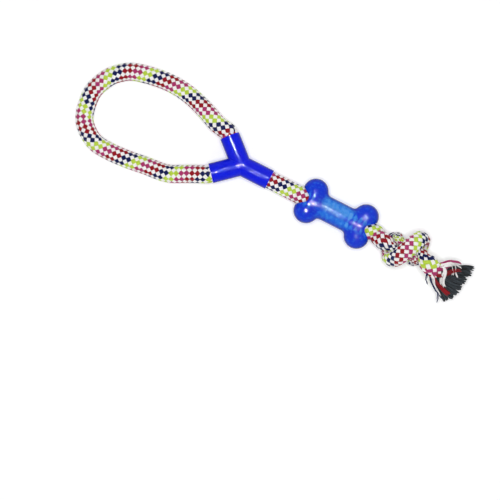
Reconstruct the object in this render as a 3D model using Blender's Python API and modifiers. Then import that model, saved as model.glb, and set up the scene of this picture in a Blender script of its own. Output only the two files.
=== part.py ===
"""Dog rope chew toy: a braided rope doubled back into a hand loop at a moulded Y sleeve, with a
rubber bone threaded on its stem, an overhand stopper knot and a frayed tassel.

Metres, +Z up. The toy lies flat, with the loop at -X and the tassel at +X. Everything is placed
from the sleeve's hub, and one empty carries the whole toy so that its box stands on the origin.
"""

import math
import random

import bmesh
import bpy
from mathutils import Matrix, Vector

# Rope
ROPE_DIAMETER = 0.020
JACKET_WALL = 0.0026
CORE_GAP = 0.0004
FIT_GAP = 0.0003
FLOOR_CUT_SHARE = 0.1
ROPE_SIDES = 10
ROPE_CUT_STRAIGHT = 0.0015

# Moulded Y sleeve
SLEEVE_WALL = 0.0012
SLEEVE_SQUEEZE = 0.0003
SLEEVE_CLEARANCE = 0.00035
SLEEVE_ARM = 0.035
SLEEVE_EDGE = 0.0003
LOOP_ARMS_DEG = 82.8
AXIS_HEIGHT = 0.0141
HUB_SQUEEZE_SHARE = 0.85

# Hand loop, seen from above
LOOP_REACH = 0.1846
LOOP_HALF_WIDTH = 0.0492
NECK_REACH = 0.062
HINGE_REACH = 0.044
NECK_STRAIGHT_SHARE = 0.5

# Cut end of the rope, inside the sleeve
END_DEPTH = 0.0225
END_TAPE_WIDTH = 0.009
END_TAPE_WALL = 0.0004

# Chew bone
BONE_PLACE = 0.118
LOBE_RADIUS = 0.0145
LOBE_SPACING = 0.0626
LOBE_SPREAD = 0.0248
SHANK_RADIUS = 0.0139
BORE_CLEARANCE = 0.0006
MOUTH_FLARE = 0.0012
MOUTH_DEPTH = 0.008
BONE_BLEND = 0.0031

# Stopper knot
KNOT_PLACE = 0.2044
KNOT_SLACK = 0.0018
KNOT_FLAT = 0.0008
KNOT_PITCH = 0.030
KNOT_LEAN = 0.004
KNOT_WRAP_SHARE = 0.41
KNOT_CORE_SHARE = 0.235
KNOT_CORE_LENGTH_SHARE = 0.4
KNOT_CORE_SAG_SHARE = 0.4
KNOT_TURN_SHARE = 0.36

# Tail and tassel
TAIL_NECK = 0.015
TAIL_ROPE = 0.007
TASSEL_LENGTH = 0.0402
TASSEL_TURN_DEG = 14
TASSEL_SPREAD_SHARE = 3.7
TASSEL_RISE_SHARE = 1.1
TASSEL_OPENING_SHARE = 1.3
TASSEL_BACKING = 0.002
YARN_RADIUS = 0.0008
YARN_SPACING = 0.0021
YARN_RAGGED_SHARE = 0.14
YARN_CORNER_SHARE = 0.10
STRAND_WIDTH = 0.0030
STRAND_THICKNESS = 0.0013

ROPE_RADIUS = ROPE_DIAMETER / 2
FLOOR_CUT = ROPE_DIAMETER * FLOOR_CUT_SHARE
SLEEVED_RADIUS = ROPE_RADIUS - SLEEVE_SQUEEZE
SLEEVE_BORE = SLEEVED_RADIUS + SLEEVE_CLEARANCE
SLEEVE_OUTER = SLEEVE_BORE + SLEEVE_WALL
LOOP_HEIGHT = ROPE_RADIUS - FLOOR_CUT
WRAP_RADIUS = ROPE_DIAMETER * KNOT_WRAP_SHARE
KNOT_CORE_RADIUS = ROPE_DIAMETER * KNOT_CORE_SHARE
TURN_RADIUS = ROPE_DIAMETER * KNOT_TURN_SHARE
KNOT_HEIGHT = KNOT_CORE_RADIUS + KNOT_SLACK + 2 * WRAP_RADIUS - KNOT_FLAT
OVERRUN = ROPE_DIAMETER
ARM_ANGLE = math.pi - math.radians(LOOP_ARMS_DEG / 2)
UPPER_ARM = Vector((math.cos(ARM_ANGLE), math.sin(ARM_ANGLE), 0))
LOWER_ARM = Vector((math.cos(ARM_ANGLE), -math.sin(ARM_ANGLE), 0))
STRAND_RING = ROPE_RADIUS - JACKET_WALL / 2
TASSEL_HEIGHT = STRAND_RING * TASSEL_RISE_SHARE + STRAND_WIDTH / 2 + FIT_GAP

# The loop's centre line from the upper neck round to the lower neck, as shares of its reach
# and of its half width
LOOP_ROUTE_SHARES = (
    (-0.343, 0.741), (-0.455, 0.876), (-0.566, 0.935), (-0.687, 0.914), (-0.835, 0.788),
    (-0.913, 0.600), (-0.964, 0.366), (-1.000, 0.025), (-0.999, -0.323), (-0.974, -0.664),
    (-0.916, -0.898), (-0.846, -1.038), (-0.759, -1.066), (-0.638, -1.045), (-0.513, -0.980),
    (-0.377, -0.917),
)
UPPER_NECK_SHARES = ((-0.240, 0.587),)
LOWER_NECK_SHARES = ((-0.252, -0.695),)

# The knot's centre line from its middle outwards, as shares of the rope's diameter, with the
# rope's radius as a share of it too
KNOT_LEG_SHARES = ((0.89, -0.52, -0.17, 0.2), (0.77, -0.41, -0.08, 0.265), (0.61, -0.35, -0.02, 0.265))
KNOT_IN_SHARES = ((-1.6, -0.115, -0.27, 0.49), (-1.2, -0.21, 0.06, 0.46), (-0.87, -0.28, 0.09, 0.35))
KNOT_OUT_SHARES = ((0.87, 0.15, 0.22, 0.31), (1.15, -0.07, 0.38, 0.36), (1.42, -0.2, 0.44, 0.455))
TAIL_SHARES = ((1.68, -0.28, 0.36, 0.47), (1.94, -0.35, 0.2, 0.5))
KNOT_LEAD_SHARE = 1.8
KNOT_FLOOR_SHARE = 2.15

# The tassel: where its yarns and strands bend along its length, and the jacket's strands in their
# order round the rope, each with its own cut length
YARN_PLACE_SHARES = (0.2, 0.45, 0.72)
STRAND_PLACE_SHARES = (0.12, 0.35, 0.65, 1)
STRAND_LENGTH_SHARES = (
    ("lime", 0.62), ("white", 0.72), ("lime", 0.55), ("white", 0.80),
    ("pink", 0.66), ("white", 0.58), ("pink", 0.74), ("white", 0.68),
    ("red", 0.60), ("white", 0.84), ("red", 0.70), ("white", 0.56),
    ("navy", 0.78), ("white", 0.64), ("navy", 0.58), ("white", 0.75),
)

COLOURS = {
    "sleeve_blue": ((0.004, 0.011, 0.67), 0.22),
    "bone_blue": ((0.008, 0.05, 0.60), 0.25),
    "braid_white": ((0.88, 0.86, 0.84), 0.8),
    "core_black": ((0.02, 0.025, 0.035), 0.85),
    "tape_clear": ((0.75, 0.73, 0.66), 0.4),
    "strand_lime": ((0.50, 0.73, 0.06), 0.8),
    "strand_pink": ((0.48, 0.045, 0.17), 0.8),
    "strand_red": ((0.38, 0.01, 0.02), 0.8),
    "strand_navy": ((0.005, 0.01, 0.08), 0.8),
}


def clear_scene():
    for leftover in list(bpy.data.objects):
        bpy.data.objects.remove(leftover, do_unlink=True)


def make_collection(name):
    collection = bpy.data.collections.new(name)
    bpy.context.scene.collection.children.link(collection)
    return collection


def material(name):
    if name in bpy.data.materials:
        return bpy.data.materials[name]
    colour, roughness = COLOURS[name]
    made = bpy.data.materials.new(name)
    made.use_nodes = True
    shader = made.node_tree.nodes["Principled BSDF"]
    shader.inputs["Base Color"].default_value = (*colour, 1)
    shader.inputs["Roughness"].default_value = roughness
    shader.inputs["Metallic"].default_value = 0
    return made


def add_carrier(name, place):
    """An empty on a joint's axis, which the pieces that move with the joint hang from."""
    carrier = bpy.data.objects.new(name, None)
    bpy.context.scene.collection.objects.link(carrier)
    carrier.parent = toy_frame
    carrier.location = place
    return carrier


def add_piece(name, mesh, finish, carrier=None):
    """A named piece of the toy, with its mesh placed from the hub."""
    piece = bpy.data.objects.new(name, mesh)
    toy_collection.objects.link(piece)
    mesh.materials.clear()
    mesh.materials.append(material(finish))
    mesh.shade_smooth()
    mesh.set_sharp_from_angle(angle=math.radians(50))
    piece.parent = carrier or toy_frame
    if carrier:
        piece.location = -carrier.location
    return piece


def add_cutter(name, mesh):
    cutter = bpy.data.objects.new(name, mesh)
    cutter_collection.objects.link(cutter)
    cutter.hide_render = True
    cutter.display_type = "WIRE"
    cutter.parent = toy_frame
    return cutter


def subtract(piece, cutter):
    cut = piece.modifiers.new("cut_" + cutter.name, "BOOLEAN")
    cut.operation = "DIFFERENCE"
    cut.object = cutter


def curved(points, parts):
    """A smooth curve through hand-chosen points (x, y, z, radius), each stretch in equal parts."""
    ends = [[2 * a - b for a, b in zip(points[0], points[1])]]
    ends += [list(point) for point in points]
    ends += [[2 * a - b for a, b in zip(points[-1], points[-2])]]
    route = []
    for i in range(1, len(ends) - 2):
        for part in range(parts):
            t = part / parts
            weights = (
                (-t + 2 * t**2 - t**3) / 2,
                (2 - 5 * t**2 + 3 * t**3) / 2,
                (t + 4 * t**2 - 3 * t**3) / 2,
                (-(t**2) + t**3) / 2,
            )
            route.append([sum(w * q[k] for w, q in zip(weights, ends[i - 1 : i + 3])) for k in range(4)])
    route.append(list(points[-1]))
    return route


def route_length(route):
    return sum(math.dist(a[:3], b[:3]) for a, b in zip(route, route[1:]))


def cut_at(route, distance):
    """The point of a route at a distance along it, and the route's direction there."""
    travelled = 0
    for a, b in zip(route, route[1:]):
        length = math.dist(a[:3], b[:3])
        if travelled + length >= distance:
            break
        travelled += length
    share = min((distance - travelled) / length, 1)
    return [p + share * (q - p) for p, q in zip(a, b)], (Vector(b[:3]) - Vector(a[:3])).normalized()


def moved(point, heading, distance):
    return [*(Vector(point[:3]) + heading * distance), point[3]]


def stretch(route, start, end):
    """The part of a route between two cuts, half a fit gap clear of each and square to it."""
    first, first_heading = cut_at(route, start)
    last, last_heading = cut_at(route, end)
    clear = FIT_GAP / 2
    found = [moved(first, first_heading, clear), moved(first, first_heading, ROPE_CUT_STRAIGHT)]
    travelled = 0
    for a, b in zip(route, route[1:]):
        travelled += math.dist(a[:3], b[:3])
        if start + 2 * ROPE_CUT_STRAIGHT < travelled < end - 2 * ROPE_CUT_STRAIGHT:
            found.append(b)
    return found + [moved(last, last_heading, -ROPE_CUT_STRAIGHT), moved(last, last_heading, -clear)]


def plain_curve(places):
    """A round curve datablock of straight runs through the places (x, y, z)."""
    curve = bpy.data.curves.new("route", "CURVE")
    curve.dimensions = "3D"
    curve.bevel_mode = "ROUND"
    curve.bevel_resolution = 0
    curve.use_fill_caps = True
    spline = curve.splines.new("POLY")
    spline.points.add(len(places) - 1)
    for point, place in zip(spline.points, places):
        point.co = (*place[:3], 1)
    return curve


def solid_of(curve):
    """The welded mesh of a curve."""
    holder = bpy.data.objects.new("route", curve)
    toy_collection.objects.link(holder)
    evaluated = holder.evaluated_get(bpy.context.evaluated_depsgraph_get())
    mesh = bpy.data.meshes.new_from_object(evaluated)
    bpy.data.objects.remove(holder)
    weld(mesh)
    return mesh


def tube_mesh(route, inset, capped):
    """The mesh of a tube along a route of (x, y, z, radius), with its radii less an inset."""
    curve = plain_curve(route)
    curve.bevel_depth = ROPE_RADIUS
    curve.bevel_resolution = ROPE_SIDES // 2 - 2
    curve.use_fill_caps = capped
    for point, place in zip(curve.splines[0].points, route):
        point.radius = (place[3] - inset) / ROPE_RADIUS
    return solid_of(curve)


def weld(mesh):
    shape = bmesh.new()
    shape.from_mesh(mesh)
    bmesh.ops.remove_doubles(shape, verts=shape.verts, dist=FIT_GAP / 10)
    shape.to_mesh(mesh)
    shape.free()


def sleeve_mesh(route, wall):
    """An open-ended tube with a wall: an outer and an inner skin, joined by a rim at each end."""
    shape = bmesh.new()
    inner = tube_mesh(route, wall, False)
    shape.from_mesh(inner)
    bmesh.ops.reverse_faces(shape, faces=shape.faces)
    bpy.data.meshes.remove(inner)
    outer = tube_mesh(route, 0, False)
    shape.from_mesh(outer)
    bpy.data.meshes.remove(outer)
    first, last = (Vector(route[end][:3]) for end in (0, -1))
    rims = ([], [])
    for edge in shape.edges:
        if edge.is_boundary:
            middle = (edge.verts[0].co + edge.verts[1].co) / 2
            rims[(middle - last).length < (middle - first).length].append(edge)
    for rim in rims:
        bmesh.ops.bridge_loops(shape, edges=rim)
    bmesh.ops.recalc_face_normals(shape, faces=shape.faces)
    return as_mesh("sleeve", shape)


def rope(name, route, floor=None, carrier=None):
    """A stretch of rope: its braided jacket, and the yarn core inside it."""
    jacket = add_piece(name + "_jacket", sleeve_mesh(route, JACKET_WALL), "braid_white", carrier)
    core_mesh = tube_mesh(route, JACKET_WALL + CORE_GAP, True)
    core = add_piece(name + "_core", core_mesh, "core_black", carrier)
    for piece in (jacket, core) if floor else ():
        subtract(piece, floor)
    return jacket, core


def floor_cutter(low, high):
    """A slab under the floor, which flattens what the toy lies on."""
    shape = bmesh.new()
    bmesh.ops.create_cube(shape, size=1)
    size = Vector((high[0] - low[0], high[1] - low[1], OVERRUN))
    bmesh.ops.scale(shape, vec=size, verts=shape.verts)
    middle = Vector(((low[0] + high[0]) / 2, (low[1] + high[1]) / 2, -OVERRUN / 2))
    bmesh.ops.translate(shape, vec=middle, verts=shape.verts)
    mesh = bpy.data.meshes.new("floor_slab")
    shape.to_mesh(mesh)
    shape.free()
    return add_cutter("floor_slab", mesh)


def arm_cylinders(radius, overrun):
    """Three round bars that meet at the hub, one along each arm of the sleeve."""
    bars = []
    for direction in (Vector((1, 0, 0)), UPPER_ARM, LOWER_ARM):
        length = SLEEVE_ARM + overrun
        shape = bmesh.new()
        bmesh.ops.create_cone(
            shape, cap_ends=True, segments=36, radius1=radius, radius2=radius, depth=length
        )
        turn = Vector((0, 0, 1)).rotation_difference(direction)
        bmesh.ops.rotate(shape, cent=(0, 0, 0), matrix=turn.to_matrix(), verts=shape.verts)
        place = direction * length / 2 + Vector((0, 0, AXIS_HEIGHT))
        bmesh.ops.translate(shape, vec=place, verts=shape.verts)
        bars.append(shape)
    return bars


def as_mesh(name, shape):
    mesh = bpy.data.meshes.new(name)
    shape.to_mesh(mesh)
    shape.free()
    return mesh


def joined(name, bars):
    """The union of the three arm bars, as one cutter or one solid."""
    first, *others = [add_cutter(f"{name}_{i}", as_mesh(name, bar)) for i, bar in enumerate(bars)]
    for other in others:
        union = first.modifiers.new("join_" + other.name, "BOOLEAN")
        union.operation = "UNION"
        union.object = other
    return first


def y_sleeve():
    """The moulded sleeve: three thin-walled arms with square mouths and a crisp mitre."""
    body = joined("sleeve_bar", arm_cylinders(SLEEVE_OUTER, 0))
    bore = joined("sleeve_bore", arm_cylinders(SLEEVE_BORE, OVERRUN))
    evaluated = body.evaluated_get(bpy.context.evaluated_depsgraph_get())
    sleeve = add_piece("y_sleeve", bpy.data.meshes.new_from_object(evaluated), "sleeve_blue")
    subtract(sleeve, bore)
    edge = sleeve.modifiers.new("mouth_edges", "BEVEL")
    edge.width = SLEEVE_EDGE
    edge.segments = 1
    edge.limit_method = "ANGLE"
    edge.angle_limit = math.radians(80)
    return sleeve


def loop_route():
    """The loop from the upper arm's mouth round to the lower arm's mouth."""
    straight = SLEEVE_ARM + ROPE_RADIUS * NECK_STRAIGHT_SHARE
    places = [(UPPER_ARM * straight)[:2]]
    for x_share, y_share in UPPER_NECK_SHARES + LOOP_ROUTE_SHARES + LOWER_NECK_SHARES:
        places.append((x_share * LOOP_REACH, y_share * LOOP_HALF_WIDTH))
    places.append((LOWER_ARM * straight)[:2])
    points = []
    for x, y in places:
        share = (-x - SLEEVE_ARM) / (LOOP_REACH / 2 - SLEEVE_ARM)
        share = min(max(share, 0), 1)
        drop = share * share * (3 - 2 * share)
        height = AXIS_HEIGHT + drop * (LOOP_HEIGHT - AXIS_HEIGHT)
        points.append((x, y, height, ROPE_RADIUS))
    mouths = [[*(arm * SLEEVE_ARM)[:2], AXIS_HEIGHT, SLEEVED_RADIUS] for arm in (UPPER_ARM, LOWER_ARM)]
    return [mouths[0]] + curved(points, 2) + [mouths[1]]


def distance_at_reach(route, reach):
    """How far along the loop it first comes to a distance in front of the hub."""
    travelled = 0
    for a, b in zip(route, route[1:]):
        if a[0] >= -reach > b[0]:
            share = (a[0] + reach) / (a[0] - b[0])
            return travelled + share * math.dist(a[:3], b[:3])
        travelled += math.dist(a[:3], b[:3])
    raise ValueError("the loop doesn't come that far from the hub")


def hand_loop():
    route = loop_route()
    total = route_length(route)
    upper = distance_at_reach(route, NECK_REACH)
    lower = total - distance_at_reach(route[::-1], NECK_REACH)
    reach = LOOP_REACH + OVERRUN
    floor = floor_cutter((-reach, -reach), (-NECK_REACH / 2, reach))
    hinge = add_carrier("handle_hinge", Vector((-HINGE_REACH, 0, AXIS_HEIGHT)))
    rope("upper_neck", stretch(route, 0, upper))
    rope("loop", stretch(route, upper, lower), floor, hinge)
    rope("lower_neck", stretch(route, lower, total))
    return total


def rope_end():
    """The rope's cut end, taped and pushed into the upper arm."""
    tip = SLEEVE_ARM - END_DEPTH
    taped = SLEEVED_RADIUS - END_TAPE_WALL
    start = (*(UPPER_ARM * (SLEEVE_ARM - FIT_GAP / 2))[:2], AXIS_HEIGHT, SLEEVED_RADIUS)
    shoulder = (*(UPPER_ARM * (tip + 2 * END_TAPE_WIDTH))[:2], AXIS_HEIGHT, SLEEVED_RADIUS)
    waist = (*(UPPER_ARM * (tip + END_TAPE_WIDTH))[:2], AXIS_HEIGHT, taped - FIT_GAP)
    end = (*(UPPER_ARM * tip)[:2], AXIS_HEIGHT, taped - FIT_GAP)
    rope("rope_end", [start, shoulder, waist, end])
    waist = (*waist[:3], SLEEVED_RADIUS)
    end = (*end[:3], SLEEVED_RADIUS)
    add_piece("end_tape", sleeve_mesh([waist, end], END_TAPE_WALL), "tape_clear")


def knot_middle():
    """The wrap round the two core strands, from the right-hand turn to the left-hand one."""
    around = KNOT_CORE_RADIUS + WRAP_RADIUS + KNOT_SLACK
    beside = KNOT_CORE_RADIUS + KNOT_SLACK / 2
    half = []
    for step in range(8):
        turn = math.radians(30 * step)
        sideways = math.sin(turn)
        squared = beside * sideways * (3 - sideways * sideways) / 2
        taper = max(step - 5, 0) / 2
        radius = WRAP_RADIUS + taper * (TURN_RADIUS - WRAP_RADIUS)
        along = KNOT_PITCH * turn / math.tau + KNOT_LEAN * sideways
        half.append((along, around * sideways + squared, around * math.cos(turn), radius))
    half += [tuple(ROPE_DIAMETER * share for share in point) for point in KNOT_LEG_SHARES]
    reach = ROPE_DIAMETER * KNOT_CORE_LENGTH_SHARE
    half.append((reach, -beside, KNOT_SLACK / 2, KNOT_CORE_RADIUS))
    half.append((0, -beside, -KNOT_SLACK * KNOT_CORE_SAG_SHARE, KNOT_CORE_RADIUS))
    half.append((-reach, -beside, KNOT_SLACK / 2, KNOT_CORE_RADIUS))
    mirrored = [(-x, -y, z, radius) for x, y, z, radius in half[1:]]
    return half[::-1] + mirrored


def stem_points():
    """The rope from the lower arm's mouth through the hub and the bone to the knot and tail."""
    arm = [(*(LOWER_ARM * SLEEVE_ARM)[:2], AXIS_HEIGHT, SLEEVED_RADIUS)]
    arm.append((*(LOWER_ARM * SLEEVE_ARM / 2)[:2], AXIS_HEIGHT, SLEEVED_RADIUS))
    hub = ROPE_RADIUS * HUB_SQUEEZE_SHARE
    near = (*(LOWER_ARM * ROPE_RADIUS)[:2], AXIS_HEIGHT, (hub + SLEEVED_RADIUS) / 2)
    bend = (0, -(ROPE_RADIUS - hub), AXIS_HEIGHT, hub)
    far = (ROPE_RADIUS, 0, AXIS_HEIGHT, (hub + SLEEVED_RADIUS) / 2)
    straight = [
        (SLEEVE_ARM / 2, 0, AXIS_HEIGHT, SLEEVED_RADIUS),
        (SLEEVE_ARM, 0, AXIS_HEIGHT, SLEEVED_RADIUS),
        (SLEEVE_ARM + ROPE_RADIUS, 0, AXIS_HEIGHT, ROPE_RADIUS),
        (BONE_PLACE, 0, AXIS_HEIGHT, ROPE_RADIUS),
        (KNOT_PLACE - ROPE_DIAMETER * KNOT_LEAD_SHARE - ROPE_RADIUS, 0, AXIS_HEIGHT, ROPE_RADIUS),
        (KNOT_PLACE - ROPE_DIAMETER * KNOT_LEAD_SHARE, 0, AXIS_HEIGHT, ROPE_RADIUS),
    ]
    knot = [tuple(ROPE_DIAMETER * share for share in point) for point in KNOT_IN_SHARES]
    knot += knot_middle()
    knot += [tuple(ROPE_DIAMETER * share for share in point) for point in KNOT_OUT_SHARES + TAIL_SHARES]
    knot = [(x + KNOT_PLACE, y, z + KNOT_HEIGHT, radius) for x, y, z, radius in knot]
    return arm + [near, bend, far] + straight, knot


def least_gap(route):
    """The least gap of a tube to itself, past the length of a tight turn."""
    along = [0]
    for a, b in zip(route, route[1:]):
        along.append(along[-1] + math.dist(a[:3], b[:3]))
    gaps = []
    for i, a in enumerate(route):
        for j in range(i + 1, len(route)):
            b = route[j]
            if along[j] - along[i] > math.pi * (a[3] + b[3]) / 2:
                gaps.append(math.dist(a[:3], b[:3]) - a[3] - b[3])
    return min(gaps)


def stem_and_knot():
    before, knot = stem_points()
    route = curved(before + knot, 2)
    total = route_length(route)
    print(f"knot's least gap to itself: {1000 * least_gap(curved(before[-1:] + knot, 6)):.2f} mm")
    tail = total - TAIL_ROPE
    neck = tail - TAIL_NECK
    reach = ROPE_DIAMETER * KNOT_FLOOR_SHARE
    floor = floor_cutter((KNOT_PLACE - reach, -reach), (KNOT_PLACE + reach, reach))
    rope("stem", stretch(route, 0, neck), floor)
    rope("tail_neck", stretch(route, neck, tail))
    middle = Vector(cut_at(route, neck + TAIL_NECK / 2)[0][:3])
    print("tail's hinge from the hub, in mm:", [round(1000 * value, 2) for value in middle])
    hinge = add_carrier("tail_hinge", middle)
    rope("tail", stretch(route, tail, total), carrier=hinge)
    end, heading = cut_at(route, total)
    return Vector(end[:3]), heading, hinge


def bone_body():
    """Four ball lobes and a shank in one skin, with their joins drawn into soft fillets."""
    shape = bmesh.new()
    for end in (-1, 1):
        for side in (-1, 1):
            lobe = bmesh.ops.create_uvsphere(shape, u_segments=24, v_segments=16, radius=LOBE_RADIUS)
            place = Vector((end * LOBE_SPACING / 2, side * LOBE_SPREAD / 2, 0))
            bmesh.ops.translate(shape, vec=place, verts=lobe["verts"])
    shank = bmesh.ops.create_cone(
        shape, cap_ends=True, segments=32, radius1=SHANK_RADIUS, radius2=SHANK_RADIUS,
        depth=LOBE_SPACING + LOBE_RADIUS / 2,
    )
    turn = Vector((0, 0, 1)).rotation_difference(Vector((1, 0, 0)))
    bmesh.ops.rotate(shape, cent=(0, 0, 0), matrix=turn.to_matrix(), verts=shank["verts"])
    bmesh.ops.translate(shape, vec=(BONE_PLACE, 0, AXIS_HEIGHT), verts=shape.verts)
    skin = add_cutter("bone_skin", as_mesh("bone_skin", shape))
    merge = skin.modifiers.new("one_skin", "REMESH")
    merge.mode = "VOXEL"
    merge.voxel_size = BONE_BLEND
    fillets = skin.modifiers.new("fillets", "SMOOTH")
    fillets.factor = 0.5
    fillets.iterations = 4
    evaluated = skin.evaluated_get(bpy.context.evaluated_depsgraph_get())
    return bpy.data.meshes.new_from_object(evaluated)


def turned(name, profile, segments):
    """A solid turned about the stem's line from a profile of (place, radius)."""
    shape = bmesh.new()
    corners = [shape.verts.new((x, 0, r)) for x, r in profile]
    for a, b in zip(corners, corners[1:]):
        shape.edges.new((a, b))
    bmesh.ops.spin(
        shape, geom=shape.verts[:] + shape.edges[:], cent=(0, 0, 0), axis=(1, 0, 0),
        angle=math.tau, steps=segments, use_merge=True,
    )
    bmesh.ops.remove_doubles(shape, verts=shape.verts, dist=FIT_GAP / 10)
    bmesh.ops.recalc_face_normals(shape, faces=shape.faces)
    return as_mesh(name, shape)


def chew_bone():
    """The rubber bone, bored through with a flared mouth at each end."""
    bore = ROPE_RADIUS + BORE_CLEARANCE
    mouth = LOBE_SPACING / 2 + LOBE_RADIUS / 2
    beyond = LOBE_SPACING / 2 + LOBE_RADIUS + OVERRUN
    profile = [
        (-beyond, 0), (-beyond, bore + MOUTH_FLARE), (-mouth, bore + MOUTH_FLARE),
        (-mouth + MOUTH_DEPTH, bore), (mouth - MOUTH_DEPTH, bore),
        (mouth, bore + MOUTH_FLARE), (beyond, bore + MOUTH_FLARE), (beyond, 0),
    ]
    cutter_mesh = turned("bone_bore", profile, 32)
    cutter = add_cutter("bone_bore", cutter_mesh)
    cutter.location = (BONE_PLACE, 0, AXIS_HEIGHT)
    slide = add_carrier("bone_slide", Vector((BONE_PLACE, 0, AXIS_HEIGHT)))
    bone = add_piece("chew_bone", bone_body(), "bone_blue", slide)
    subtract(bone, cutter)
    return bone


def fan_place(tip, offset, share):
    """Where a yarn of the tassel runs: the fan turns, opens sideways and settles on the floor."""
    end, heading, _ = tip
    flat = Vector((heading.x, heading.y, 0)).normalized()
    sideways = Vector((-flat.y, flat.x, 0))
    settle = share * share * (3 - 2 * share)
    upwards = heading.cross(sideways).lerp(Vector((0, 0, 1)), min(3 * share, 1))
    spread = 1 + (TASSEL_SPREAD_SHARE - 1) * share**TASSEL_OPENING_SHARE
    rise = 1 + (TASSEL_RISE_SHARE - 1) * share
    towards = Matrix.Rotation(math.radians(TASSEL_TURN_DEG) * share, 3, "Z") @ heading
    line = end + towards * (TASSEL_LENGTH * share)
    line.z += (TASSEL_HEIGHT - line.z) * settle
    return line + sideways * offset[0] * spread + upwards * offset[1] * rise


def yarn_grid(radius):
    """Places of the core's yarns over its section, in staggered rows."""
    places = []
    row_height = YARN_SPACING * math.sqrt(3) / 2
    rows = int(radius / row_height)
    columns = int(2 * radius / YARN_SPACING)
    for row in range(-rows, rows + 1):
        shift = YARN_SPACING / 2 if row % 2 else 0
        for column in range(-columns, columns + 1):
            across = column * YARN_SPACING + shift
            if math.hypot(across, row * row_height) <= radius - YARN_RADIUS:
                places.append((across, row * row_height))
    return places


def core_fringe(tip, radius):
    """The black core yarns: a slice of the core with its yarns fanned out and cut ragged."""
    chance = random.Random(7)
    end, heading, hinge = tip
    shape = bmesh.new()
    for offset in yarn_grid(radius):
        length = 1 - YARN_RAGGED_SHARE * chance.random() - YARN_CORNER_SHARE * (offset[0] / radius) ** 2
        shares = (TASSEL_BACKING / 2 / TASSEL_LENGTH, *YARN_PLACE_SHARES, length)
        curve = plain_curve([fan_place(tip, offset, share) for share in shares])
        curve.bevel_depth = YARN_RADIUS
        yarn = solid_of(curve)
        shape.from_mesh(yarn)
        bpy.data.meshes.remove(yarn)
    yarns = add_cutter("yarns", as_mesh("yarns", shape))
    slice_route = [(*(end + heading * place), radius) for place in (FIT_GAP / 2, TASSEL_BACKING)]
    fringe = add_piece("core_fringe", tube_mesh(slice_route, 0, True), "core_black", hinge)
    union = fringe.modifiers.new("yarns", "BOOLEAN")
    union.operation = "UNION"
    union.object = yarns


def jacket_strands(tip):
    """The jacket's strands, each a flat band let out of the braid."""
    counts = {}
    for i, (colour, length) in enumerate(STRAND_LENGTH_SHARES):
        counts[colour] = counts.get(colour, 0) + 1
        angle = math.tau * (i + 0.5) / len(STRAND_LENGTH_SHARES)
        offset = (STRAND_RING * math.sin(angle), STRAND_RING * math.cos(angle))
        shares = [2 * FIT_GAP / TASSEL_LENGTH] + [length * share for share in STRAND_PLACE_SHARES]
        curve = plain_curve([fan_place(tip, offset, share) for share in shares])
        curve.twist_mode = "Z_UP"
        curve.bevel_depth = STRAND_THICKNESS / 2
        curve.extrude = (STRAND_WIDTH - STRAND_THICKNESS) / 2
        for point in curve.splines[0].points:
            point.tilt = math.pi / 2 - angle
        finish = "braid_white" if colour == "white" else "strand_" + colour
        add_piece(f"{colour}_strand_{counts[colour]}", solid_of(curve), finish, tip[2])


def stand_on_origin():
    """Moves the toy so that the middle of its box's underside is the origin."""
    bpy.context.view_layer.update()
    depsgraph = bpy.context.evaluated_depsgraph_get()
    corners = []
    for piece in toy_collection.objects:
        mesh = piece.evaluated_get(depsgraph).to_mesh()
        corners += [piece.matrix_world @ vertex.co for vertex in mesh.vertices]
    low = Vector([min(corner[k] for corner in corners) for k in range(3)])
    high = Vector([max(corner[k] for corner in corners) for k in range(3)])
    toy_frame.location = (-(low.x + high.x) / 2, -(low.y + high.y) / 2, -low.z)
    print("hub at", [round(1000 * value, 3) for value in toy_frame.location])
    print("box", [round(1000 * value, 2) for value in high - low])


clear_scene()
toy_collection = make_collection("dog_rope_toy")
cutter_collection = make_collection("cutters")
toy_frame = bpy.data.objects.new("toy_frame", None)
bpy.context.scene.collection.objects.link(toy_frame)

y_sleeve()
print(f"loop's length between the sleeve's mouths: {1000 * hand_loop():.1f} mm")
rope_end()
tassel_tip = stem_and_knot()
chew_bone()
core_fringe(tassel_tip, ROPE_RADIUS - JACKET_WALL - CORE_GAP)
jacket_strands(tassel_tip)
stand_on_origin()
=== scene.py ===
"""Dog rope chew toy: a braided rope doubled back into a hand loop, closed by a moulded Y sleeve,
with a clear rubber bone on its stem, a stopper knot and a frayed tassel."""

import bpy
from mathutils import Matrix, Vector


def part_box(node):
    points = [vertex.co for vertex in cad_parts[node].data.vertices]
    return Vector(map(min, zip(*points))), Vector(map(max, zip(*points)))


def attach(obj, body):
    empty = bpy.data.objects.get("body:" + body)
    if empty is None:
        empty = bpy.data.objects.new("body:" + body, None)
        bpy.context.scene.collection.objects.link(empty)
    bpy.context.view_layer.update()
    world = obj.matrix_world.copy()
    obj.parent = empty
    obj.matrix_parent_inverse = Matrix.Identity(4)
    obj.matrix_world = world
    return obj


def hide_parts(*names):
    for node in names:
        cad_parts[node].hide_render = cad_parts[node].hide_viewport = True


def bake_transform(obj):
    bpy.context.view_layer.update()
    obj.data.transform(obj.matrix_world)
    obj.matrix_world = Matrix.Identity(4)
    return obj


bl_info = {
    "name": "Dog Rope Chew Toy",
    "version": (1, 0, 0),
    "blender": (4, 5, 0),
    "location": "View3D > Sidebar > Rope Toy",
    "description": "Braids the rope and models the sleeve, chew bone and tassel of a dog rope chew toy",
    "category": "Add Mesh",
}

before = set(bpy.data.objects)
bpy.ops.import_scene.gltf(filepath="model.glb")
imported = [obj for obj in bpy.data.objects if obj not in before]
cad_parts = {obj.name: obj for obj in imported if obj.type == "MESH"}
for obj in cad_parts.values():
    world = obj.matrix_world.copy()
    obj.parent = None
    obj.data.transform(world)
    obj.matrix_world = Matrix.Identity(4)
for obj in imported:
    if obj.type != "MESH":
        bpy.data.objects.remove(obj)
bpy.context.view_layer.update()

import math
import random

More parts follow.
